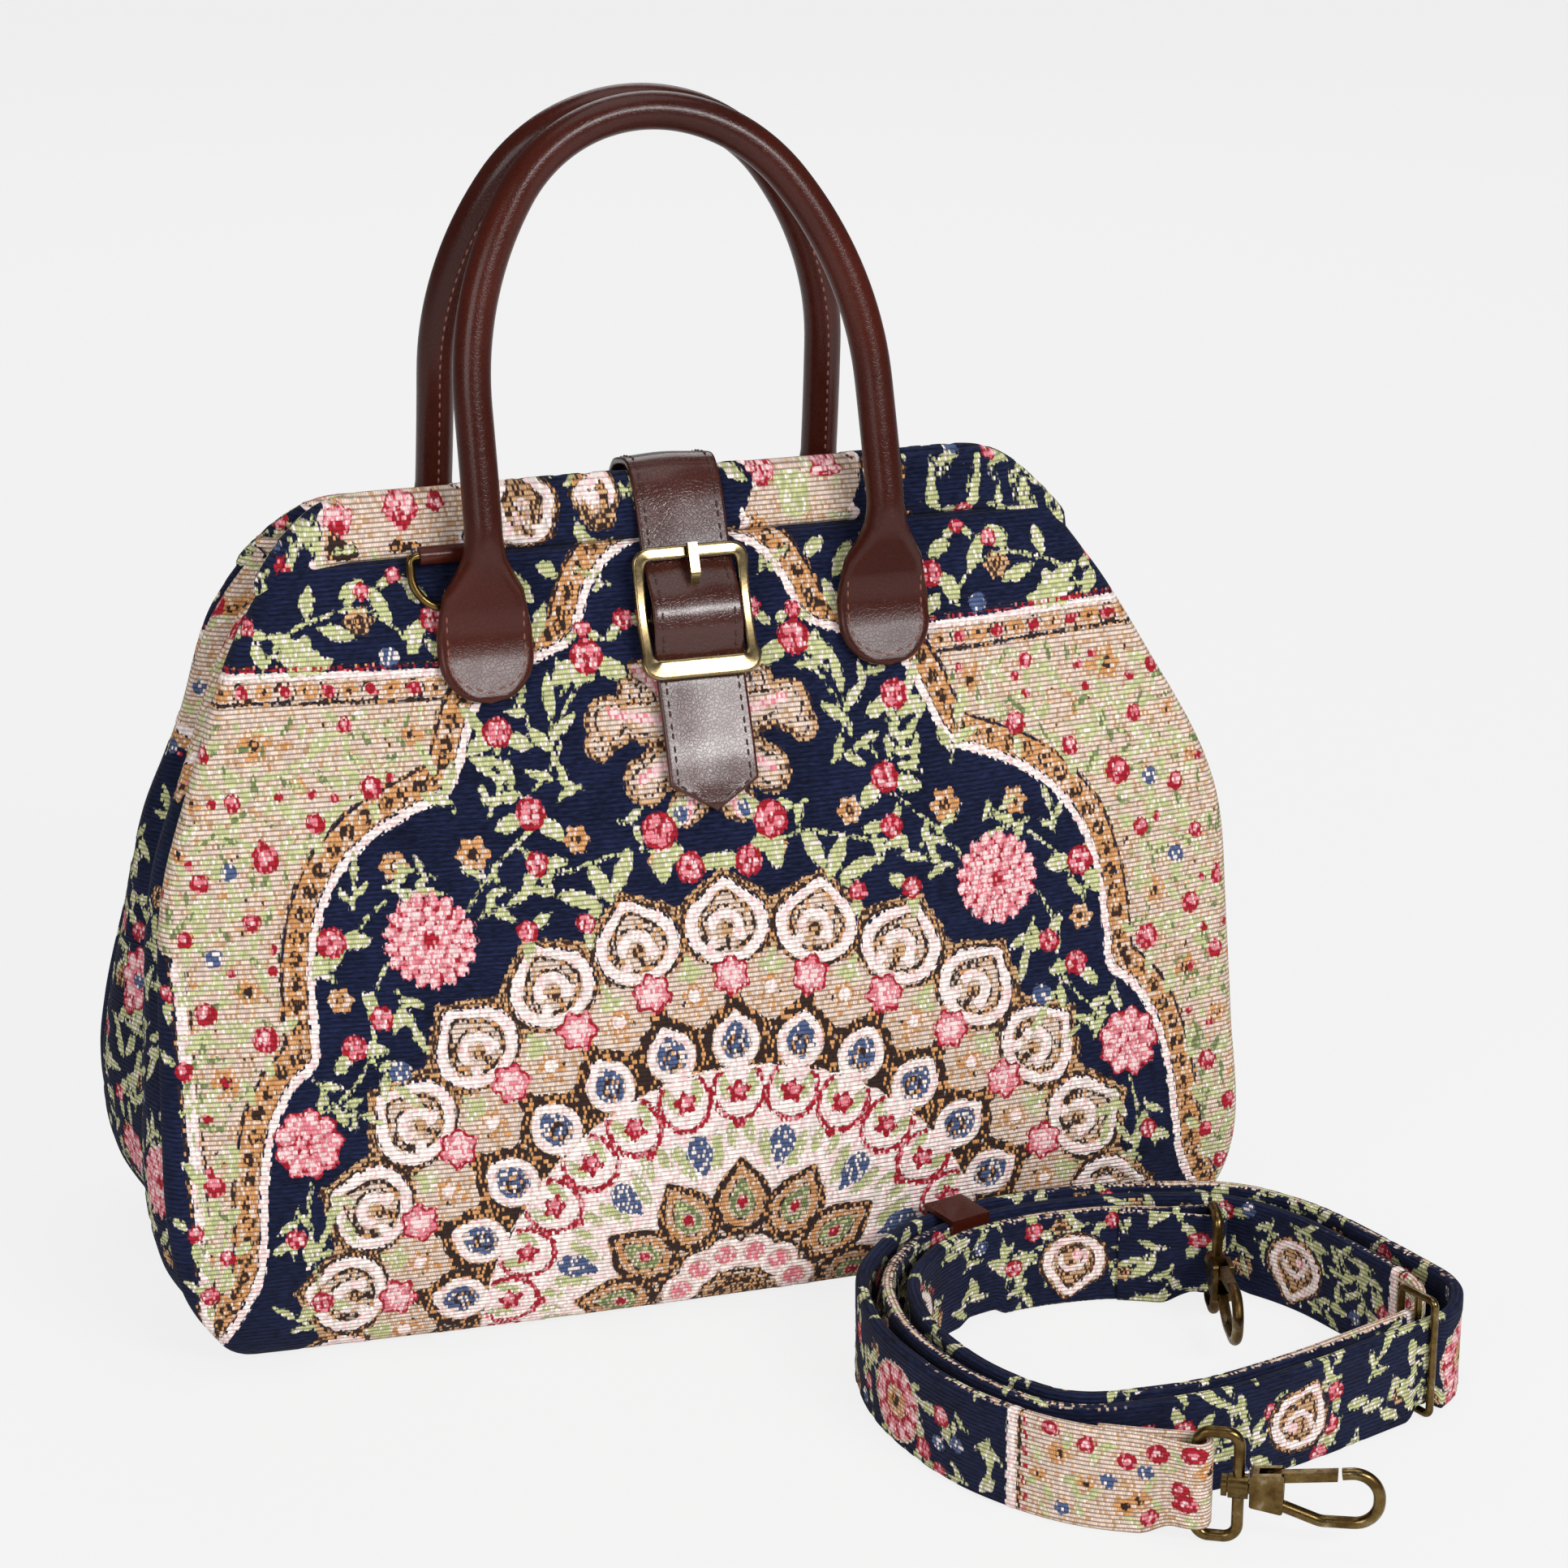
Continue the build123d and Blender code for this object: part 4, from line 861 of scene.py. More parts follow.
def weave_strap(loom, full):
    """The shoulder strap: navy with leaves and flowers, broken by light patches."""
    x, z = loom.x, loom.z
    patches = ((4, 50), (880, 16))
    light = np.min([np.abs(x - at) - half for at, half in patches], axis=0)
    loom.put("beige", light)
    loom.bands(light, (("cream", 0, 1.4), ("brown", -2.8, 0.5)))
    loom.bands(light, (("red", -4.6, 0.7),), np.abs((z % 5) - 2.5) - 1.5)
    rim = np.abs((z + 18) % 36 - 18) - 1.1 - 0.8 * np.sin(x * 0.05)
    loom.put("beige", np.maximum(rim, 0.4 - np.sin(x * 0.021 + 1.2)))
    rng = np.random.default_rng(23)
    for low in (0, 38):
        blocks = [(at, low + 17, half + 2) for at, half in patches]
        scatter(loom, rng, (-50, full + 60), (low, low + 34), 9.6, "ground", blocks)
    for at, half in patches:
        for low in (2, 38):
            scatter(loom, rng, (at - half + 3, at + half - 3), (low, low + 32), 6.4, "field")
    for at in (104, 250, 410, 690, 960, 1070):
        for pz in (16, 55):
            loom.disc("beige", at, pz, 13)
            loom.bloom(at, pz, 12.5, ((11, 0.74, 0.46, 0.34), HEART))
            loom.disc("gold", at, pz, 5.4)
            loom.clear(np.hypot(x - at, z - pz) - 5.2, ("red", "pink", "rose", "sage"))
            loom.disc("brown", at, pz, 2.2)
    for at in (178, 330, 480, 566, 640, 730, 820, 1020, 1110, 1180):
        for pz in (17, 55):
            loom.scroll(at, pz, 12, at % 90)


def woven(mesh, loom):
    """Store a loom's figures and its two ways on a mesh."""
    for name in YARNS:
        keep(mesh, name, np.clip(loom.yarn[name], -FAR, FAR))
    keep(mesh, "warp", loom.x)
    keep(mesh, "weft", loom.z)


def pile(loom):
    """1 where the raised chenille lies on top, 0 on the flat weave."""
    flat = np.min([loom.yarn[n] for n in YARNS if n != "cream"], axis=0)
    over = np.minimum(np.min([loom.yarn[n] for n in YARNS[YARNS.index("cream") + 1:]], axis=0), FAR)
    cream = np.where(over > 0, loom.yarn["cream"], FAR)
    return np.where(cream < 0, 1.0, ease(flat, -0.4, 0.8))


# Materials


class Web:
    """A node tree under construction."""

    def __init__(self, tree):
        self.tree = tree

    def add(self, kind, **settings):
        node = self.tree.nodes.new(kind)
        for key, value in settings.items():
            setattr(node, key, value)
        return node

    def feed(self, socket, value):
        if isinstance(value, bpy.types.NodeSocket):
            self.tree.links.new(value, socket)
        else:
            socket.default_value = value

    def fill(self, node, *values, **named):
        """Feed a node's inputs in their order or by name, with underscores for spaces."""
        for socket, value in zip(node.inputs, values):
            self.feed(socket, value)
        for key, value in named.items():
            self.feed(node.inputs[key.replace("_", " ")], value)
        return node

    def math(self, operation, *values):
        return self.fill(self.add("ShaderNodeMath", operation=operation), *values).outputs[0]

    def times(self, a, b):
        return self.math("MULTIPLY", a, b)

    def plus(self, a, b):
        return self.math("ADD", a, b)

    def minus(self, a, b):
        return self.math("SUBTRACT", a, b)

    def rest(self, value):
        """What a share leaves of 1."""
        return self.minus(1.0, value)

    def mix(self, share, a, b, blend="MIX"):
        node = self.add("ShaderNodeMix", data_type="RGBA", blend_type=blend)
        for key, value in (("Factor", share), (6, a), (7, b)):
            self.feed(node.inputs[key], value)
        return node.outputs[2]

    def span(self, value, low, high, to_low, to_high, smooth=False):
        node = self.add("ShaderNodeMapRange", interpolation_type="SMOOTHSTEP" if smooth else "LINEAR")
        return self.fill(node, value, low, high, to_low, to_high).outputs["Result"]

    def point(self, x, y, z=0.0):
        return self.fill(self.add("ShaderNodeCombineXYZ"), x, y, z).outputs[0]

    def attribute(self, name):
        return self.add("ShaderNodeAttribute", attribute_name=name).outputs["Fac"]

    def place(self):
        return self.add("ShaderNodeTexCoord").outputs["Object"]

    def noise(self, vector, scale, detail=2.0, rough=0.5):
        node = self.add("ShaderNodeTexNoise")
        return self.fill(node, Vector=vector, Scale=scale, Detail=detail, Roughness=rough).outputs["Fac"]

    def grain(self, vector):
        node = self.add("ShaderNodeTexWhiteNoise", noise_dimensions="3D")
        return self.fill(node, Vector=vector).outputs["Value"]

    def bump(self, height, strength, distance):
        node = self.add("ShaderNodeBump")
        return self.fill(node, Height=height, Strength=strength, Distance=distance).outputs["Normal"]

    def either(self, share, first, second):
        """One shader or the other, by a share."""
        return self.fill(self.add("ShaderNodeMixShader"), share, first.outputs[0], second.outputs[0])


def new_group(name, inputs, outputs):
    """A shader group with its inputs' defaults, its float outputs beside a colour, and its two end nodes."""
    group = bpy.data.node_groups.new(name, "ShaderNodeTree")
    for label, default in inputs:
        kind = "NodeSocketColor" if label == "Color" else "NodeSocketFloat"
        group.interface.new_socket(label, in_out="INPUT", socket_type=kind).default_value = default
    for label in ("Color", *outputs):
        kind = "NodeSocketColor" if label == "Color" else "NodeSocketFloat"
        group.interface.new_socket(label, in_out="OUTPUT", socket_type=kind)
    web = Web(group)
    return web, web.add("NodeGroupInput").outputs, web.add("NodeGroupOutput")


def new_material(name):
    material = bpy.data.materials.new("bag " + name)
    material.use_nodes = True
    return material, Web(material.node_tree), material.node_tree.nodes["Principled BSDF"]


def use(web, group, **values):
    return web.fill(web.add("ShaderNodeGroup", node_tree=bpy.data.node_groups[group]), **values).outputs


def rgba(value, gain=1.0, lift=0.0):
    return (*(min(v * gain + lift, 1.0) for v in value), 1.0)


def weave_group():
    """Colour and height of the tapestry from the yarns' distances and the ways of the weave."""
    web, start, end = new_group("woven_yarns", (("Row", 1.15),), ("Height", "Pile"))
    c = paints()
    warp, weft = web.attribute("warp"), web.attribute("weft")

    # Rows and the stitches in them, each other row shifted by half a stitch
    row_at = web.math("DIVIDE", weft, start["Row"])
    row, row_share = web.math("FLOOR", row_at), web.math("FRACT", row_at)
    shift = web.times(web.math("MODULO", row, 2.0), 0.5)
    pick_at = web.plus(web.math("DIVIDE", warp, web.times(start["Row"], 0.54)), shift)
    pick, pick_share = web.math("FLOOR", pick_at), web.math("FRACT", pick_at)
    stray, tone, choice = (web.grain(web.point(pick, row, seed)) for seed in (0.5, 7.5, 3.5))
    wander = web.minus(stray, 0.5)
    groove = web.span(web.math("ABSOLUTE", web.minus(row_share, 0.5)), 0.2, 0.46, 0.0, 1.0, True)
    gap = web.span(web.math("ABSOLUTE", web.minus(pick_share, 0.5)), 0.26, 0.48, 0.0, 1.0, True)
    # Painted shade along the grooves between rows, used only for the yarns' colour
    row_groove_shade = web.times(groove, web.rest(web.times(gap, 0.7)))

    # The chenille ground, with painted shade in the grooves between its rows
    streak = web.point(web.times(warp, 0.32), web.times(weft, 1.5))
    fibre = web.noise(streak, 1.0, 3.0, 0.6)
    blotch = web.noise(web.point(web.times(warp, 0.05), web.times(weft, 0.09)), 1.0, 2.0)
    nap = web.plus(web.times(fibre, 0.8), web.times(blotch, 0.3))
    now = web.mix(web.span(nap, 0.4, 0.78, 0.0, 1.0), rgba(c.navy, 0.4), rgba(c.navy, 2.3, 0.003))
    # Painted shade: the navy darkened along the grooves between the rows
    painted_furrow_shade = web.times(groove, web.span(web.noise(streak, 1.7, 2.0), 0.35, 0.65, 0.15, 0.85))
    now = web.mix(painted_furrow_shade, now, rgba(c.navy, 0.2))

    # The yarns over it, one after the other, each with painted shade in the grooves between rows and the gaps between
    # stitches
    flat = None
    shade = web.math("MULTIPLY_ADD", tone, 0.4, 0.78)
    for name in YARNS:
        second, share, dark = SECOND[name]
        covers = web.span(web.plus(web.attribute(name), wander), -0.15, 0.15, 1.0, 0.0)
        yarn, other = getattr(c, name), getattr(c, second)
        # under is the same yarn darkened, laid as painted shade in the row grooves and, fainter, in the gaps between
        # stitches
        under = (0.125 * yarn[0] + 0.005, 0.085 * yarn[1] + 0.0025, 0.08 * yarn[2] + 0.002, 1.0)
        picked = web.math("LESS_THAN", choice, share)
        body = web.mix(1.0, web.mix(picked, rgba(yarn), rgba(other)), shade, "MULTIPLY")
        lined = web.mix(web.times(row_groove_shade, dark), body, under)
        lined = web.mix(web.times(gap, dark * 0.35), lined, under)
        now = web.mix(covers, now, lined)
        if name == "cream":
            flat = web.times(flat, web.rest(covers))
        else:
            flat = covers if flat is None else web.math("MAXIMUM", flat, covers)

    raised, rib = web.rest(flat), web.rest(groove)
    knot = web.rest(web.times(gap, 0.55))
    woven_height = web.times(web.times(rib, knot), 0.6)
    pile_height = web.plus(web.times(rib, 0.75), web.times(fibre, 0.6))
    height = web.add("ShaderNodeMix", data_type="FLOAT")
    for key, value in (("Factor", raised), (2, woven_height), (3, pile_height)):
        web.feed(height.inputs[key], value)
    web.fill(end, now, height.outputs[0], raised)


def tapestry():
    material, web, shader = new_material("tapestry")
    weave = use(web, "woven_yarns", Row=sizes().weft / MM)
    web.fill(
        shader, Base_Color=weave["Color"], Roughness=web.span(weave["Pile"], 0, 1, 0.72, 0.95),
        Normal=web.bump(weave["Height"], 0.9, 0.0005), Specular_IOR_Level=0.12,
        Sheen_Weight=0.03, Sheen_Roughness=0.5,
    )
    return material


def hide_group():
    """Grain of polished leather: fine creases darkened with painted shade, wrinkles and a broad change of tone."""
    inputs = ("Color", (0.1, 0.02, 0.01, 1)), ("Crease", 1.0)
    web, start, end = new_group("hide_grain", inputs, ("Height", "Roughness"))
    place = web.place()
    drift = web.fill(web.add("ShaderNodeTexNoise"), Vector=place, Scale=260)
    scaled = web.fill(web.add("ShaderNodeVectorMath", operation="SCALE"), drift.outputs["Color"], Scale=0.0025)
    warped = web.fill(web.add("ShaderNodeVectorMath", operation="ADD"), place, scaled.outputs[0])
    cells = web.add("ShaderNodeTexVoronoi", feature="DISTANCE_TO_EDGE")
    web.fill(cells, Vector=warped.outputs[0], Scale=760)
    crease = web.span(cells.outputs["Distance"], 0.0, 0.16, 1.0, 0.0, True)
    wrinkle = web.noise(place, 120, 5.0, 0.62)
    tone = web.span(web.noise(place, 18, 3.0), 0.3, 0.72, 0.72, 1.3)
    dark = web.mix(1.0, start["Color"], tone, "MULTIPLY")
    # Painted shade in the creases of the grain: a greyed, darker copy of the leather colour
    crease_shade = web.mix(1.0, dark, (0.45, 0.42, 0.42, 1), "MULTIPLY")
    deep = web.times(crease, web.times(start["Crease"], -0.5))
    web.fill(
        end, Color=web.mix(web.times(crease, 0.4), dark, crease_shade),
        Height=web.plus(deep, web.times(wrinkle, start["Crease"])),
        Roughness=web.span(wrinkle, 0.3, 0.75, 0.24, 0.36),
    )


def leather(name, tone, crease, depth, coat, gloss):
    material, web, shader = new_material(name)
    painted = web.mix(web.attribute("edge"), rgba(tone), rgba(paints().edge))
    grain = use(web, "hide_grain", Color=painted, Crease=crease)
    web.fill(
        shader, Base_Color=grain["Color"], Roughness=grain["Roughness"],
        Normal=web.bump(grain["Height"], 0.55, depth),
        Specular_IOR_Level=gloss, Coat_Weight=coat, Coat_Roughness=0.16,
    )
    return material


def metal_group():
    """Aged metal: tarnish in blotches, rubbed bright places and fine pits."""
    inputs = ("Color", (0.4, 0.3, 0.1, 1)), ("Tarnish", 0.5)
    web, start, end = new_group("aged_metal", inputs, ("Roughness", "Height"))
    place = web.place()
    blotch, fine = web.noise(place, 150, 5.0, 0.65), web.noise(place, 900, 3.0, 0.6)
    soil = web.times(web.span(blotch, 0.42, 0.66, 0.0, 1.0, True), start["Tarnish"])
    dull = web.mix(1.0, start["Color"], (0.34, 0.26, 0.2, 1), "MULTIPLY")
    bright = web.mix(0.35, start["Color"], (0.92, 0.86, 0.7, 1))
    rubbed = web.mix(web.span(blotch, 0.2, 0.42, 1.0, 0.0), start["Color"], bright)
    rough = web.span(web.plus(web.times(fine, 0.5), soil), 0.1, 1.2, 0.2, 0.52)
    web.fill(end, Color=web.mix(soil, rubbed, dull), Roughness=rough, Height=fine)


def metal(name, tone, tarnish):
    material, web, shader = new_material(name)
    aged = use(web, "aged_metal", Color=rgba(tone), Tarnish=tarnish)
    normal = web.bump(aged["Height"], 0.12, 0.0002)
    web.fill(shader, Base_Color=aged["Color"], Roughness=aged["Roughness"], Normal=normal, Metallic=1.0)
    return material


def spun(name, tone, scale, gain=1.0):
    """Thread, lining or board: fine twisted or fibrous grain."""
    material, web, shader = new_material(name)
    fibre = web.noise(web.place(), scale, 4.0, 0.6)
    base = web.mix(fibre, rgba(tone, 0.55 * gain), rgba(tone, 1.4 * gain))
    web.fill(shader, Base_Color=base, Roughness=0.75, Normal=web.bump(fibre, 0.4, 0.0002))
    return material


def finish(name):
    """A finish by name, made on first use."""
    if "bag " + name in bpy.data.materials:
        return bpy.data.materials["bag " + name]
    c = paints()
    make, *given = {
        "tapestry": (tapestry,),
        "leather": (leather, name, c.leather, 0.4, 0.0002, 0.12, 0.18),
        "strap_leather": (leather, name, c.leather, 0.55, 0.00022, 0.3, 0.35),
        "brass": (metal, name, c.brass, 0.3),
        "aged_brass": (metal, name, c.aged, 0.75),
        "steel": (metal, name, (0.5, 0.5, 0.5), 0.3),
        "thread": (spun, name, c.thread, 2600),
        "strap_thread": (spun, name, c.thread, 2600, 0.25),
        "lining": (spun, name, (0.05, 0.03, 0.025), 700),
        "board": (spun, name, (0.09, 0.07, 0.05), 300),
    }[name]
    return make(*given)


# Shapes of the bag


def body_at(z):
    """Half width, seam depth, crown, fold and swell of the body at heights in metres."""
    s = sizes()
    share = np.clip(np.asarray(z, float) / s.panel_height, 0, 1)
    rows = ((WIDTHS, s.half_width), (DEPTHS, s.half_depth), (CROWNS, s.crown), (FOLDS, s.fold), (SWELLS, s.swell))
    return [smooth_table(share, LEVELS, table) * size for table, size in rows]


def panel_reach(x, z):
    """How far the front panel stands out of the bag's middle plane."""
    w, d, c, _, _ = body_at(z)
    return d + c * (1 - np.minimum(np.abs(x) / w, 1) ** 2)


def reach_mm(x, z):
    """The same at one place, all in millimetres."""
    return float(panel_reach(x * MM, z * MM)) / MM


def slack(x, z):
    """Soft hollows and swellings of the stuffed cloth, in metres."""
    u, v = x / MM, z / MM
    hills = (
        (-118, 160, 34, 46, -1.8), (120, 158, 34, 46, -1.6),
        (0, 60, 90, 50, 1.2), (-140, 60, 24, 60, 1.4), (138, 62, 24, 60, 1.4), (-96, 212, 26, 12, 1.4),
        (104, 210, 26, 12, 1.2), (30, 205, 16, 20, -1.0), (-34, 202, 16, 22, -1.0), (40, 110, 30, 40, -0.8),
    )
    lift = sum(h * np.exp(-((u - a) / p) ** 2 - ((v - b) / q) ** 2) for a, b, p, q, h in hills)
    lift = lift + 0.45 * np.sin(u * 0.045 + v * 0.03) * np.sin(v * 0.05 - u * 0.012 + 1.0)
    return lift * MM * ease(v, 4, 40) * (1 - ease(v, 222, 236))


def pull(z, side, way):
    """How far the soft seams lie out of true, in metres, for the left or right side of the front or the back."""
    v = np.asarray(z, float) / MM
    amount = np.where(way < 0, np.where(side < 0, -5.0, 3.0), np.where(side < 0, -12.5, -6.0))
    return amount * MM * ease(v, 55, 150) * (1 - ease(v, 160, 230))


def make_panel(name, way, columns, rows):
    """One big panel, fine outside and plain inside; way is -1 at the front and 1 at the back."""
    s = sizes()
    coarser = 8
    bm = bmesh.new()
    bmesh.ops.create_grid(bm, x_segments=columns, y_segments=rows, size=1)
    outer = set(bm.verts)
    bmesh.ops.create_grid(bm, x_segments=columns // coarser, y_segments=rows // coarser, size=1)
    lining = [v for v in bm.verts if v not in outer]
    bmesh.ops.translate(bm, verts=lining, vec=(0, 0, -1))
    for face in bm.faces:
        face.material_index = int(face.verts[0] not in outer)
    bmesh.ops.bridge_loops(bm, edges=[e for e in bm.edges if e.is_boundary])
    mesh = bpy.data.meshes.new(name)
    bm.to_mesh(mesh)
    bm.free()

    share = read_points(mesh)
    inner = share[:, 2] < -0.5
    # The panel goes on a little under the base and into the casing, and rolls round its side seams
    hem, tuck, roll, round_seam = 7 * MM, 4 * MM, 4.5 * MM, 6 * MM
    run = (share[:, 1] + 1) / 2 * (s.panel_height + hem + tuck) - hem
    z = np.clip(run, 0, s.panel_height)
    w, d, c, _, _ = body_at(z)
    w = w + pull(z, share[:, 0], way)
    q = share[:, 0] * (w + round_seam)
    bend = np.maximum(np.abs(q) - (w - roll), 0) / roll
    x = np.sign(q) * np.where(bend > 0, w - roll + roll * np.sin(bend), np.abs(q))
    reach = d + c * (1 - (np.clip(np.abs(x) / w, 0, 1)) ** 2) + slack(x, z) * (1 - ease(bend, 0, 0.6))
    under, over = np.maximum(-run, 0), np.maximum(run - s.panel_height, 0)
    reach = reach - roll * (1 - np.cos(bend)) - under * 1.4 - over * 1.2
    z = z + over * 0.35
    warp, weft = np.where(bend > 0, q, x) / MM, run / MM
    loom = Loom(warp, weft)
    weave_panel(loom)
    reach = np.where(inner, reach - s.cloth * (1 - 0.5 * ease(bend, 0, 1)), reach + PANEL_PILE * pile(loom))
    x = np.where(inner, x * (1 - 0.012), x)
    z = np.where(inner, np.clip(z, 2.4 * MM, s.panel_height - 1 * MM), z)
    write_points(mesh, np.stack([x, way * reach, z], 1))
    woven(mesh, loom)
    settle(mesh)
    return mesh


def make_gusset(name, way, columns, rows):
    """One side: swollen at its seams and folded in along its middle; way is -1 at the left and 1 at the right."""
    s = sizes()
    tuck, seam_gap, crease = 4 * MM, 4.5 * MM, 1.2 * MM
    mesh, share_a, share_z = grid_mesh(name, columns, rows)
    a = share_a * 2 - 1
    z = share_z * (s.panel_height + tuck)
    zc = np.clip(z, 0, s.panel_height)
    w, d, _, fold, swell = body_at(zc)
    w = w + pull(zc, way, -1) * (1 - a) / 2 + pull(zc, way, 1) * (1 + a) / 2
    y = a * (d - seam_gap)
    u = np.abs(a)
    x = w - fold + (fold + swell - 1 * MM) * ease(u, 0.0, 0.62) - (swell + 2.2 * MM) * ease(u, 0.68, 1.0)
    x = x + crease * np.sin(zc / MM * 0.11 + 1.5 * a) * ease(zc, 0.1, 0.2) * np.exp(-((u - 0.3) / 0.2) ** 2)
    loom = Loom(y / MM * 1.15, z / MM)
    weave_gusset(loom)
    x = x + PANEL_PILE * pile(loom)
    write_points(mesh, np.stack([way * x, y, z], 1))
    woven(mesh, loom)
    settle(mesh, side=way)
    return mesh


def make_casing(name, way, columns, around):
    """A band over the frame wire, in millimetres: a leaning tube that droops at both ends."""
    s = sizes()
    half, straight, pile_height = 131, 92, 0.35
    seam, tall = s.panel_height / MM, s.casing_height / MM
    mesh, share_x, share_a = grid_mesh(name, columns, around)
    x = (share_x * 2 - 1) * half * MM
    u = np.abs(x) / MM
    t = np.clip((u - straight) / (half - straight), 0, 1)
    droop = 8 * ease(u, 100, half)
    low = seam + 0.4 - droop
    high = low + 4.5 + (tall - 4.5) * (1 - t ** 2.3) ** 0.8 + droop * (1 - t)
    high = high - 5 * (way > 0) * (1 - 0.6 * t)
    close = np.sqrt(np.clip(1 - np.clip((t - 0.86) / 0.14, 0, 1) ** 2, 0.0004, 1))
    thick = (5.0 - 1.2 * ease(t, 0.3, 1)) * close
    angle = share_a * 2 * math.pi - math.pi / 2
    up, side = np.sin(angle), np.cos(angle)
    z = low + thick + up * thick * 0.98 + (up > 0) * np.maximum(high - low - 2 * thick, 0.2)
    middle = 14.3 - 7.0 * np.clip((z - low) / tall, 0, 1) + 2.0 * ease(t, 0.4, 1)
    bulge = 1 + 0.10 * np.sin(np.clip((z - low) / np.maximum(high - low, 1), 0, 1) * math.pi)
    y = middle + side * thick * bulge
    loom = Loom(x / MM, np.where(side > 0, z - seam, 44 - (z - seam)))
    weave_casing(loom)
    raised = pile_height * pile(loom)
    y = y + side * raised
    z = z + up * raised * (up > 0)
    write_points(mesh, np.stack([x, way * y * MM, z * MM], 1))
    woven(mesh, loom)
    settle(mesh, weld=2 * WELD)
    return mesh


class BagOperator:
    bl_options = {"REGISTER", "UNDO"}


def set_in_scene(name, data, place, target):
    """Put a lamp or a camera in the scene, pointed at a target."""
    obj = bpy.data.objects.new(name, data)
    obj.location = place
    obj.rotation_euler = (target - Vector(place)).to_track_quat("-Z", "Y").to_euler()
    bpy.context.scene.collection.objects.link(obj)
    return obj


class BAG_OT_stage(BagOperator, bpy.types.Operator):
    """Pale floor, soft lamps and the camera"""

    bl_idname = "carpet_bag.stage"
    bl_label = "Stage"

    def execute(self, context):
        scene = context.scene
        scene.view_settings.view_transform = "Standard"
        self.floor(scene)
        self.sky(scene)
        for name, place, wide, power in LAMPS:
            lamp = bpy.data.lights.new(name, "AREA")
            lamp.energy, lamp.shape = power, "RECTANGLE"
            lamp.size, lamp.size_y = max(wide, 0.8), wide
            set_in_scene(name, lamp, place, LAMP_TARGET)
        camera = bpy.data.cameras.new("camera")
        camera.sensor_width, camera.lens, camera.clip_start = 36, LENS, 0.05
        turn, lift = math.radians(CAMERA_TURN), math.radians(CAMERA_LIFT)
        view = Vector((math.sin(turn) * math.cos(lift), -math.cos(turn) * math.cos(lift), math.sin(lift)))
        scene.camera = set_in_scene("camera", camera, CAMERA_TARGET + CAMERA_AWAY * view, CAMERA_TARGET)
        return {"FINISHED"}

    def floor(self, scene):
        """A wide floor that looks the same to the camera near and far."""
        tone = rgba(paints().floor)
        wide, sunk, seen_share = 16, 0.0004, 0.93
        mesh, a, b = grid_mesh("floor", 8, 8)
        write_points(mesh, np.stack([(a - 0.5) * wide, (b - 0.5) * wide, 0 * a - sunk], 1))
        material, web, shader = new_material("floor")
        web.fill(shader, Base_Color=tone, Roughness=0.9, Specular_IOR_Level=0.1)
        seen = web.add("ShaderNodeLightPath").outputs["Is Camera Ray"]
        glow = web.fill(web.add("ShaderNodeEmission"), Color=tone)
        blend = web.either(web.times(seen, seen_share), shader, glow)
        web.fill(material.node_tree.nodes["Material Output"], Surface=blend.outputs[0])
        floor = bpy.data.objects.new("floor", mesh)
        mesh.materials.append(material)
        scene.collection.objects.link(floor)

    def sky(self, scene):
        """An even light round the bag, darker in its reflections and pale to the camera."""
        world = bpy.data.worlds.new("studio")
        world.use_nodes = True
        scene.world = world
        web, nodes = Web(world.node_tree), world.node_tree.nodes
        base = web.fill(nodes["Background"], Color=(1, 1, 1, 1), Strength=0.3)
        shown = web.fill(web.add("ShaderNodeBackground"), Color=rgba(paints().floor))
        dim = web.fill(web.add("ShaderNodeBackground"), Color=(0.1, 0.1, 0.1, 1))
        rays = web.add("ShaderNodeLightPath").outputs
        mirrored = web.either(rays["Is Glossy Ray"], base, dim)
        sky = web.either(rays["Is Camera Ray"], mirrored, shown)
        web.fill(nodes["World Output"], Surface=sky.outputs[0])


class BAG_OT_finishes(BagOperator, bpy.types.Operator):
    """Shared node groups of the cloth, leather and metal"""

    bl_idname = "carpet_bag.finishes"
    bl_label = "Finishes"

    def execute(self, context):
        weave_group()
        hide_group()
        metal_group()
        return {"FINISHED"}


class BAG_OT_panels(BagOperator, bpy.types.Operator):
    """Front and rear panels of the body"""

    bl_idname = "carpet_bag.panels"
    bl_label = "Panels"

    def execute(self, context):
        cloth = [finish("tapestry"), finish("lining")]
        fine = PANEL_FACES
        piece("front_cloth", make_panel("front_cloth", -1, *fine), cloth, "bag", ["front_panel"])
        piece("rear_cloth", make_panel("rear_cloth", 1, *fine), cloth, "bag", ["rear_panel"])
        return {"FINISHED"}


def line_cloth(obj, thickness):
    """Give an open sheet of cloth its thickness, inward."""
    wall = obj.modifiers.new("thickness", "SOLIDIFY")
    wall.thickness = thickness
    wall.offset = -1


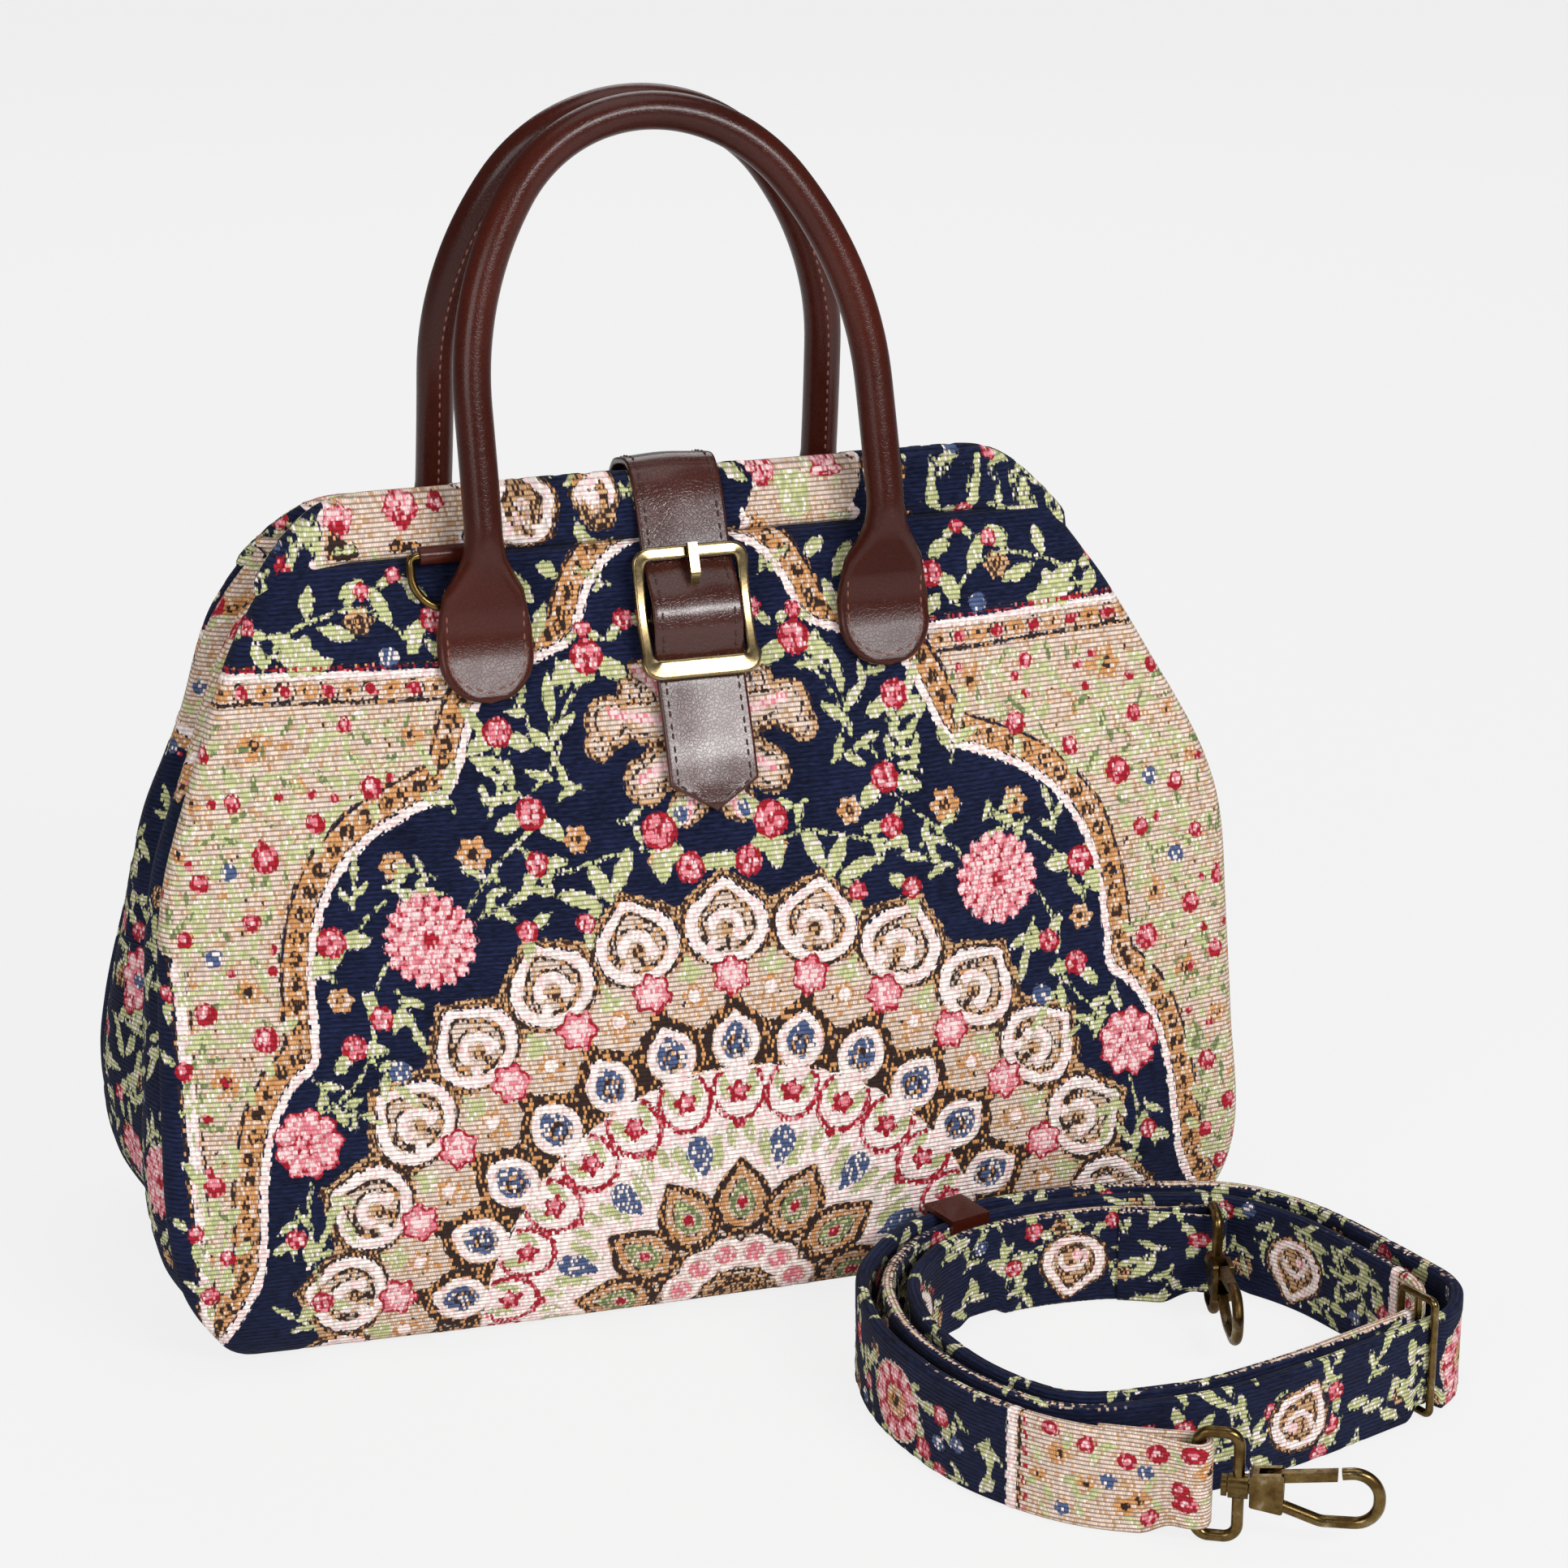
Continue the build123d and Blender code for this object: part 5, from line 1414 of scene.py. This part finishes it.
class BAG_OT_gussets(BagOperator, bpy.types.Operator):
    """Folded sides and the base"""

    bl_idname = "carpet_bag.gussets"
    bl_label = "Gussets and base"

    def execute(self, context):
        cloth = [finish("tapestry"), finish("lining")]
        for node, way in (("left_gusset", -1), ("right_gusset", 1)):
            obj = piece(node + "_cloth", make_gusset(node, way, *GUSSET_FACES), cloth, "bag", [node])
            line_cloth(obj, sizes().cloth * 0.8)
        low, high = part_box("base_panel")
        inset = 2.4 * MM
        mesh, a, b = grid_mesh("base_cloth", *BASE_FACES)
        x = low.x + (high.x - low.x) * a
        x = x + np.sign(x) * inset * (np.abs(a - 0.5) > 0.49)
        w, d, c, _, _ = body_at(0)
        y = (2 * b - 1) * (d + c * (1 - (x / w) ** 2) - inset)
        loom = Loom(x / MM, y / MM)
        loom.bands(np.hypot(loom.x * 0.5, loom.z), (("beige", 30, 7),))
        scatter(loom, np.random.default_rng(3), (-146, 146), (-62, 62), 11, "ground")
        write_points(mesh, np.stack([x, y, 0 * x + 0.0006], 1))
        woven(mesh, loom)
        mesh.flip_normals()
        line_cloth(piece("base_cloth", mesh, cloth, "bag", ["base_panel"]), 2.2 * MM)
        dress("base_board", finish("board"))
        return {"FINISHED"}


class BAG_OT_casings(BagOperator, bpy.types.Operator):
    """Bands along the mouth and the wires inside them"""

    bl_idname = "carpet_bag.casings"
    bl_label = "Casings"

    def execute(self, context):
        for node, way in (("front", -1), ("rear", 1)):
            mesh = make_casing(node + "_casing_cloth", way, *CASING_FACES)
            piece(node + "_casing_cloth", mesh, [finish("tapestry")], "bag", [node + "_casing"])
            dress(node + "_frame_wire", finish("steel"))
        return {"FINISHED"}


def buckle_lay():
    """Where the buckle lies: its middle, the way up along it and the way out of it, in millimetres."""
    foot, head = STRAP_FOOT, sizes().panel_height / MM
    low, high = reach_mm(STRAP_X, foot), reach_mm(STRAP_X, head)
    up = unit(np.array([0, low - high, head - foot]))
    out = np.array([0, -up[2], up[1]])
    middle = np.array([STRAP_X, -low, foot]) + up * (BUCKLE_Z - foot) / up[2] + out * 0.3
    return middle, up, out


def strap_route():
    """Middle line of the closing strap, from its rear end over the mouth and through the buckle to its tip."""
    middle, up, out = buckle_lay()

    def off(along, away):
        spot = middle + up * along + out * away
        return spot[1], spot[2]

    def on_panel(z, away):
        return reach_mm(STRAP_X, z) + away

    half, gap, bar, inner = STRAP_HALF, 0.3, 3.5, 16.3
    under = BUCKLE_OFF + BUCKLE_BOW * (inner / BUCKLE_HALF) ** 2 - 1.8 - gap - half
    over = BUCKLE_OFF + bar + gap + half
    lean = 3.4 * math.hypot(20, 7.2) / 20
    front = [
        (-7.3 - half, 260.7), (-12.3 - lean, 252.3), off(BUCKLE_HALF, under), off(inner - half, under),
        off(bar + half, over - half / 2), off(0, over), off(-bar - half, over - half / 2),
        off(half - inner, under), off(-BUCKLE_HALF, under),
        (-on_panel(STRAP_FOOT, 5.6), STRAP_FOOT), (-on_panel(161, 3.2), 161),
    ]
    rear = [
        (on_panel(192, 3.2), 192), (on_panel(216, 2.8), 216), (19.5 + lean, 235.3), (12.3 + lean, 248.0),
        (7.3 + half, 256.6),
    ]
    flat, _ = resample(bent(rear + front, 6), 1.0)
    for _ in range(14):
        flat[1:-1] = (flat[:-2] + 2 * flat[1:-1] + flat[2:]) / 4
    return np.stack([np.full(len(flat), STRAP_X), flat[:, 0], flat[:, 1]], 1)


def coil_route():
    """Plan of the shoulder strap's middle line, with the two bars its ends are folded round."""
    def spot(share, turn):
        scale = 1 - 0.1 * turn
        return 95 + share[0] * 111 * scale, -165 + share[1] * 85 * scale

    count = len(COIL)
    turns = [spot(COIL[i % count], i / count) for i in range(COIL_POINTS)]
    return np.array([spot(COIL_START, 0), *turns, spot(COIL_END, 0)])


def folded_end(bar, ahead, side):
    """The end of the strap, folded round its bar and laid back on itself."""
    t = unit(ahead - bar)
    n = np.array([-t[1], t[0]]) * side
    steps = (
        (30, 2.9), (14, 3.1), (5, 3.9), (-0.5, 4.0), (-3.6, 2.0), (-3.6, -2.0), (-0.5, -4.0), (6, -2.6), (15, -0.2),
    )
    return rounded([bar + t * u + n * v for u, v in steps], passes=3)


def handle_line():
    """Middle line of the front handle, from tab to tab, the way out of its tabs and the way up of its legs."""
    half = sizes().handle_half / MM
    tab, tab_top, neck_z = 195, 217, 248.0
    back, rise_z, bow = 27.0, 121.0, 54
    low, high = reach_mm(half, tab), reach_mm(half, tab_top)
    rise = unit(np.array([0, low - high, tab_top - tab]))
    out = np.array([0, -rise[2], rise[1]])
    foot = np.array([-half, -low, tab]) + out * 3.0
    neck, lift = np.array([-half, -34.0, neck_z]), unit(np.array([0, back, rise_z]))
    # Each leg goes up straight, then round a wide arc to a narrower one over the crown
    turn = math.radians(35)
    radius = (half - bow * math.cos(turn)) / (1 - math.cos(turn))
    leg = math.hypot(back, rise_z) - radius * math.sin(turn) - bow * (1 - math.sin(turn))
    wide_arc, crown = np.linspace(0, turn, 20), np.linspace(turn, math.pi / 2, 24)[1:]
    u = radius * (1 - np.cos(wide_arc))
    v = leg + radius * np.sin(wide_arc)
    u = np.append(u, u[-1] + bow * (math.cos(turn) - np.cos(crown)))
    v = np.append(v, v[-1] + bow * (np.sin(crown) - math.sin(turn)))
    roll = neck + u[:, None] * [1, 0, 0] + v[:, None] * lift
    start = bent([foot, foot + rise * 24, neck - lift * 6, roll[0]], 40)
    one = np.concatenate([start[:-1], roll])
    path, at = resample(np.concatenate([one, (one * (-1, 1, 1))[-2::-1]]), 1.1)
    # The soft leather draws in a little and leans to the left
    share = np.clip((path[:, 2] - neck_z) / rise_z, 0, 1)
    path[:, 0] = path[:, 0] * (1 - 0.03 * share) - 4.6 * share ** 1.4
    return path, at, out, lift


class BAG_OT_handles(BagOperator, bpy.types.Operator):
    """Rolled leather handles with their sewn tabs"""

    bl_idname = "carpet_bag.handles"
    bl_label = "Handles"

    def execute(self, context):
        tube = sizes().handle_radius / MM
        path, at, out, lift = handle_line()
        full = at[-1]
        from_foot = np.minimum(at, full - at)
        tab, rolled = 15, 53
        wide = np.interp(from_foot, (0, 22, 35, 41, 47, rolled), (tab, tab, 12.6, 9.4, 6.7, tube))
        wide = np.where(from_foot < tab, np.sqrt(np.maximum(tab ** 2 - (tab - from_foot) ** 2, 0)), wide)
        thick = np.interp(from_foot, (0, 1.2, 20, 30, 38, 46, rolled), (1.5, 2, 2, 2.4, 3.6, 5.2, tube))
        corner = np.where(from_foot > 40, tube, np.minimum(thick, 1.7 + 0.06 * from_foot))
        tangent = unit(np.gradient(path, axis=0))
        face = out + (np.cross(lift, [1, 0, 0]) - out) * ease(from_foot, 20, rolled)[:, None]
        face = np.where(face[:, 1:2] > 0, -face, face)
        face = unit(face - tangent * np.sum(face * tangent, 1, keepdims=True))
        right = np.cross(tangent, face)
        rows = self.sewing(path, at, tangent, right, face, thick, tube)
        for node, way in (("front_handle", -1), ("rear_handle", 1)):
            flip = np.array([1, -way, 1])
            mesh, row, share, a, _ = sweep(node + "_leather", path, right, face, wide, thick, corner, HANDLE_ROUND)
            seam = np.exp(-((share - 0.75) * 2 * math.pi * tube / 1.1) ** 2) * ease(from_foot[row], 50, 58)
            co = read_points(mesh) / MM - face[row] * (0.75 * seam)[:, None]
            write_points(mesh, co * flip * MM)
            keep(mesh, "edge", np.clip(1 - (wide[row] - np.abs(a)), 0, 1) * (1 - ease(from_foot[row], 22, 34)))
            settle(mesh, weld=WELD)
            piece(node + "_leather", mesh, [finish("leather")], "bag", [node])
            mesh = stitches(node + "_stitches", [[v * flip for v in one] for one in rows], (2.5, 0.75, 0.32))
            piece(node + "_stitches", mesh, [finish("thread")], "bag")
        return {"FINISHED"}

    def sewing(self, path, at, tangent, right, face, thick, tube):
        """Stitches under the roll and round both tabs: the place, the way along and the way up of each."""
        rows = []
        for k in np.arange(56, at[-1] - 56, 3.3):
            i = int(np.searchsorted(at, k))
            rows.append((path[i] - face[i] * (tube + 0.62), tangent[i], -face[i]))
        side, low = 12, 15
        ring = [(-side, v) for v in np.arange(27, low, -3.6)]
        ring += [(side * math.sin(g), low - side * math.cos(g)) for g in np.arange(-1.5, 1.55, 0.3)]
        ring = np.array(ring + [(side, v) for v in np.arange(16.2, 28, 3.6)])
        for mirror in ((1, 1, 1), (-1, 1, 1)):
            for (u, v), (du, dv) in zip(ring, np.gradient(ring, axis=0)):
                i = int(np.searchsorted(at, v))
                place = path[i] + right[i] * u + face[i] * (thick[i] + 0.05)
                rows.append([w * mirror for w in (place, right[i] * du + tangent[i] * dv, face[i])])
        return rows


class BAG_OT_closing_strap(BagOperator, bpy.types.Operator):
    """Leather strap over the mouth, with its buckle"""

    bl_idname = "carpet_bag.closing_strap"
    bl_label = "Closing strap and buckle"

    def execute(self, context):
        self.strap()
        self.buckle()
        dress("buckle_tongue", finish("brass"))
        dress("buckle_chape", finish("strap_leather"))
        for end in ("front", "rear"):
            dress(end + "_ring_loop", finish("leather"))
            dress(end + "_d_ring", finish("aged_brass"))
        return {"FINISHED"}

    def strap(self):
        path, at = resample(strap_route(), 1.0)
        full, tip = at[-1], 9.0
        tangent = unit(np.gradient(path, axis=0))
        right = np.tile([1.0, 0, 0], (len(path), 1))
        out = np.cross(tangent, right)
        half = sizes().strap_width / MM / 2
        wide = half * np.minimum(np.clip((full - at) / tip, 0, 1), np.clip(at / 0.8, 0, 1))
        thick = np.where(full - at < 1.2, 0.9, STRAP_HALF)
        mesh, row, _, a, b = sweep("strap_leather", path, right, out, wide, thick, 1.0, STRAP_ROUND)
        dish = 0.35 * np.cos(np.clip(np.abs(a) / half, 0, 1) * math.pi) * np.sign(b)
        dish = np.where(np.abs(b) > 1.2, dish, 0) * ease(wide[row], 4, half)
        write_points(mesh, read_points(mesh) + out[row] * dish[:, None] * MM)
        keep(mesh, "edge", np.clip(1 - (wide[row] - np.abs(a)) / 0.9, 0, 1))
        settle(mesh, weld=WELD)
        piece("closing_strap_leather", mesh, [finish("strap_leather")], "bag", ["closing_strap"])

        # Rows of places along the strap and off its middle, how far up, and the lean of the stitch
        marks = [(k, half - 2.6, 1.2, 0) for k in np.arange(4, full - tip, 3.5)]
        marks += [(full - 9.5 + 0.62 * k, half - 2.4 - 1.15 * k, 1.4, 1.5) for k in np.arange(1.5, tip, 2.6)]
        rows = []
        for k, off, high, lean in marks:
            i = int(np.searchsorted(at, k))
            for across in (-right[i], right[i]):
                rows.append((path[i] + across * off + out[i] * high, tangent[i] - across * lean, out[i]))
        mesh = stitches("strap_stitches", rows, (2.5, 0.8, 0.4))
        piece("strap_stitches", mesh, [finish("strap_thread")], "bag")

    def buckle(self):
        middle, up, out = buckle_lay()
        half, low, high = 16.7, -17.7, 18.4
        loop = bent([(0, low), (half, low), (half, high), (-half, high), (-half, low), (0, low)], 4.5)
        loop, _ = resample(loop, 0.7)
        u, v = loop[:, :1], loop[:, 1:]
        line = middle + u * [1, 0, 0] + v * up + (BUCKLE_OFF + BUCKLE_BOW * (v / BUCKLE_HALF) ** 2) * out
        way = np.gradient(line, axis=0)
        way[0] = way[-1] = line[1] - line[-2]
        rise = np.tile(out, (len(line), 1))
        wide = 1.7 + 0.4 * ease(np.abs(loop[:, 1]), 12, 17) + 1.1 * ease(-loop[:, 1], 12, 17)
        mesh = sweep("buckle_brass", line, np.cross(unit(way), rise), rise, wide, 1.45, 0.7, BUCKLE_ROUND)[0]
        settle(mesh, weld=WELD)
        piece("buckle_brass", mesh, [finish("brass")], "bag", ["buckle_frame"])


class BAG_OT_shoulder_strap(BagOperator, bpy.types.Operator):
    """Coiled shoulder strap with its slider, keeper and snap hooks"""

    bl_idname = "carpet_bag.shoulder_strap"
    bl_label = "Shoulder strap"

    def execute(self, context):
        route = coil_route()
        body, _ = resample(bent(route, 1e9), 1.0)
        first, last = folded_end(route[0], route[1], -1), folded_end(route[-1], route[-2], 1)[::-1]
        cut = 20
        plan, at = resample(np.concatenate([first, body[cut:-cut], last]), 1.15)
        full = at[-1]

        def from_spot(spot):
            return np.linalg.norm(plan - spot, axis=1)

        # The strap's lower edge rises over the bars at its ends, the slider and the keeper
        low = 5.0 * (1 - ease(np.minimum(from_spot(route[0]), from_spot(route[-1])), 5.5, 16))
        for place, reach, lift in ((11, 3.4, 4.2), (4, 9.0, 2.3)):
            for i in (place, place + len(COIL)):
                spot = (route[i + 1] + route[i + 2]) / 2
                low = np.maximum(low, lift * (1 - ease(from_spot(spot), reach, reach + 4)))
        tall, full_thick = sizes().webbing_width / MM, sizes().webbing / MM
        path = np.stack([plan[:, 0], plan[:, 1], (low + tall) / 2], 1)
        tangent = unit(np.gradient(plan, axis=0))
        out = np.stack([-tangent[:, 1], tangent[:, 0], 0 * at], 1)
        right = np.tile([0, 0, -1.0], (len(path), 1))
        wide = (tall - low) / 2 - 0.05
        thick = full_thick / 2 - 0.65 * (1 - ease(np.minimum(at, full - at), 52, 70))
        for ends in (wide, thick):
            ends[0] = ends[-1] = 0
        path[0], path[-1] = path[1], path[-2]
        mesh, row, share, _, b = sweep("strap_cloth", path, right, out, wide, thick, 1.2, WEBBING_ROUND)
        fold, round_strap = 42, 72
        loom = Loom(at[row] - fold, share * round_strap)
        weave_strap(loom, full - 2 * fold)
        raised = np.sign(b) * 0.25 * pile(loom) * (np.abs(b) > 0.6)
        write_points(mesh, read_points(mesh) + out[row] * raised[:, None] * MM)
        woven(mesh, loom)
        settle(mesh, weld=WELD)
        piece("shoulder_strap_cloth", mesh, [finish("tapestry")], "bag", ["shoulder_strap"])
        dress("strap_keeper", finish("leather"))
        hooks = [f"hook_{k}_{part}" for k in "ab" for part in ("eye", "body", "gate", "pin")]
        for node in ("strap_slider", *hooks):
            dress(node, finish("aged_brass"))
        return {"FINISHED"}


class BAG_PT_sidebar(bpy.types.Panel):
    """Sizes, colours and one button for each group of pieces"""

    bl_idname = "BAG_PT_sidebar"
    bl_label = "Carpet Bag"
    bl_space_type = "VIEW_3D"
    bl_region_type = "UI"
    bl_category = "Carpet Bag"

    def draw(self, context):
        for group in (context.scene.bag_sizes, context.scene.bag_colours):
            box = self.layout.box()
            for key in group.__annotations__:
                box.prop(group, key)
        for step in STEPS:
            self.layout.operator(step.bl_idname)


STEPS = (
    BAG_OT_stage, BAG_OT_finishes, BAG_OT_panels, BAG_OT_gussets, BAG_OT_casings, BAG_OT_handles,
    BAG_OT_closing_strap, BAG_OT_shoulder_strap,
)
CLASSES = (BagSizes, BagColours, *STEPS, BAG_PT_sidebar)


def register():
    for kind in CLASSES:
        bpy.utils.register_class(kind)
    bpy.types.Scene.bag_sizes = bpy.props.PointerProperty(type=BagSizes)
    bpy.types.Scene.bag_colours = bpy.props.PointerProperty(type=BagColours)


def unregister():
    del bpy.types.Scene.bag_colours
    del bpy.types.Scene.bag_sizes
    for kind in reversed(CLASSES):
        bpy.utils.unregister_class(kind)


def main():
    register()
    for step in STEPS:
        group, name = step.bl_idname.split(".")
        getattr(getattr(bpy.ops, group), name)()


if __name__ == "__main__":
    main()
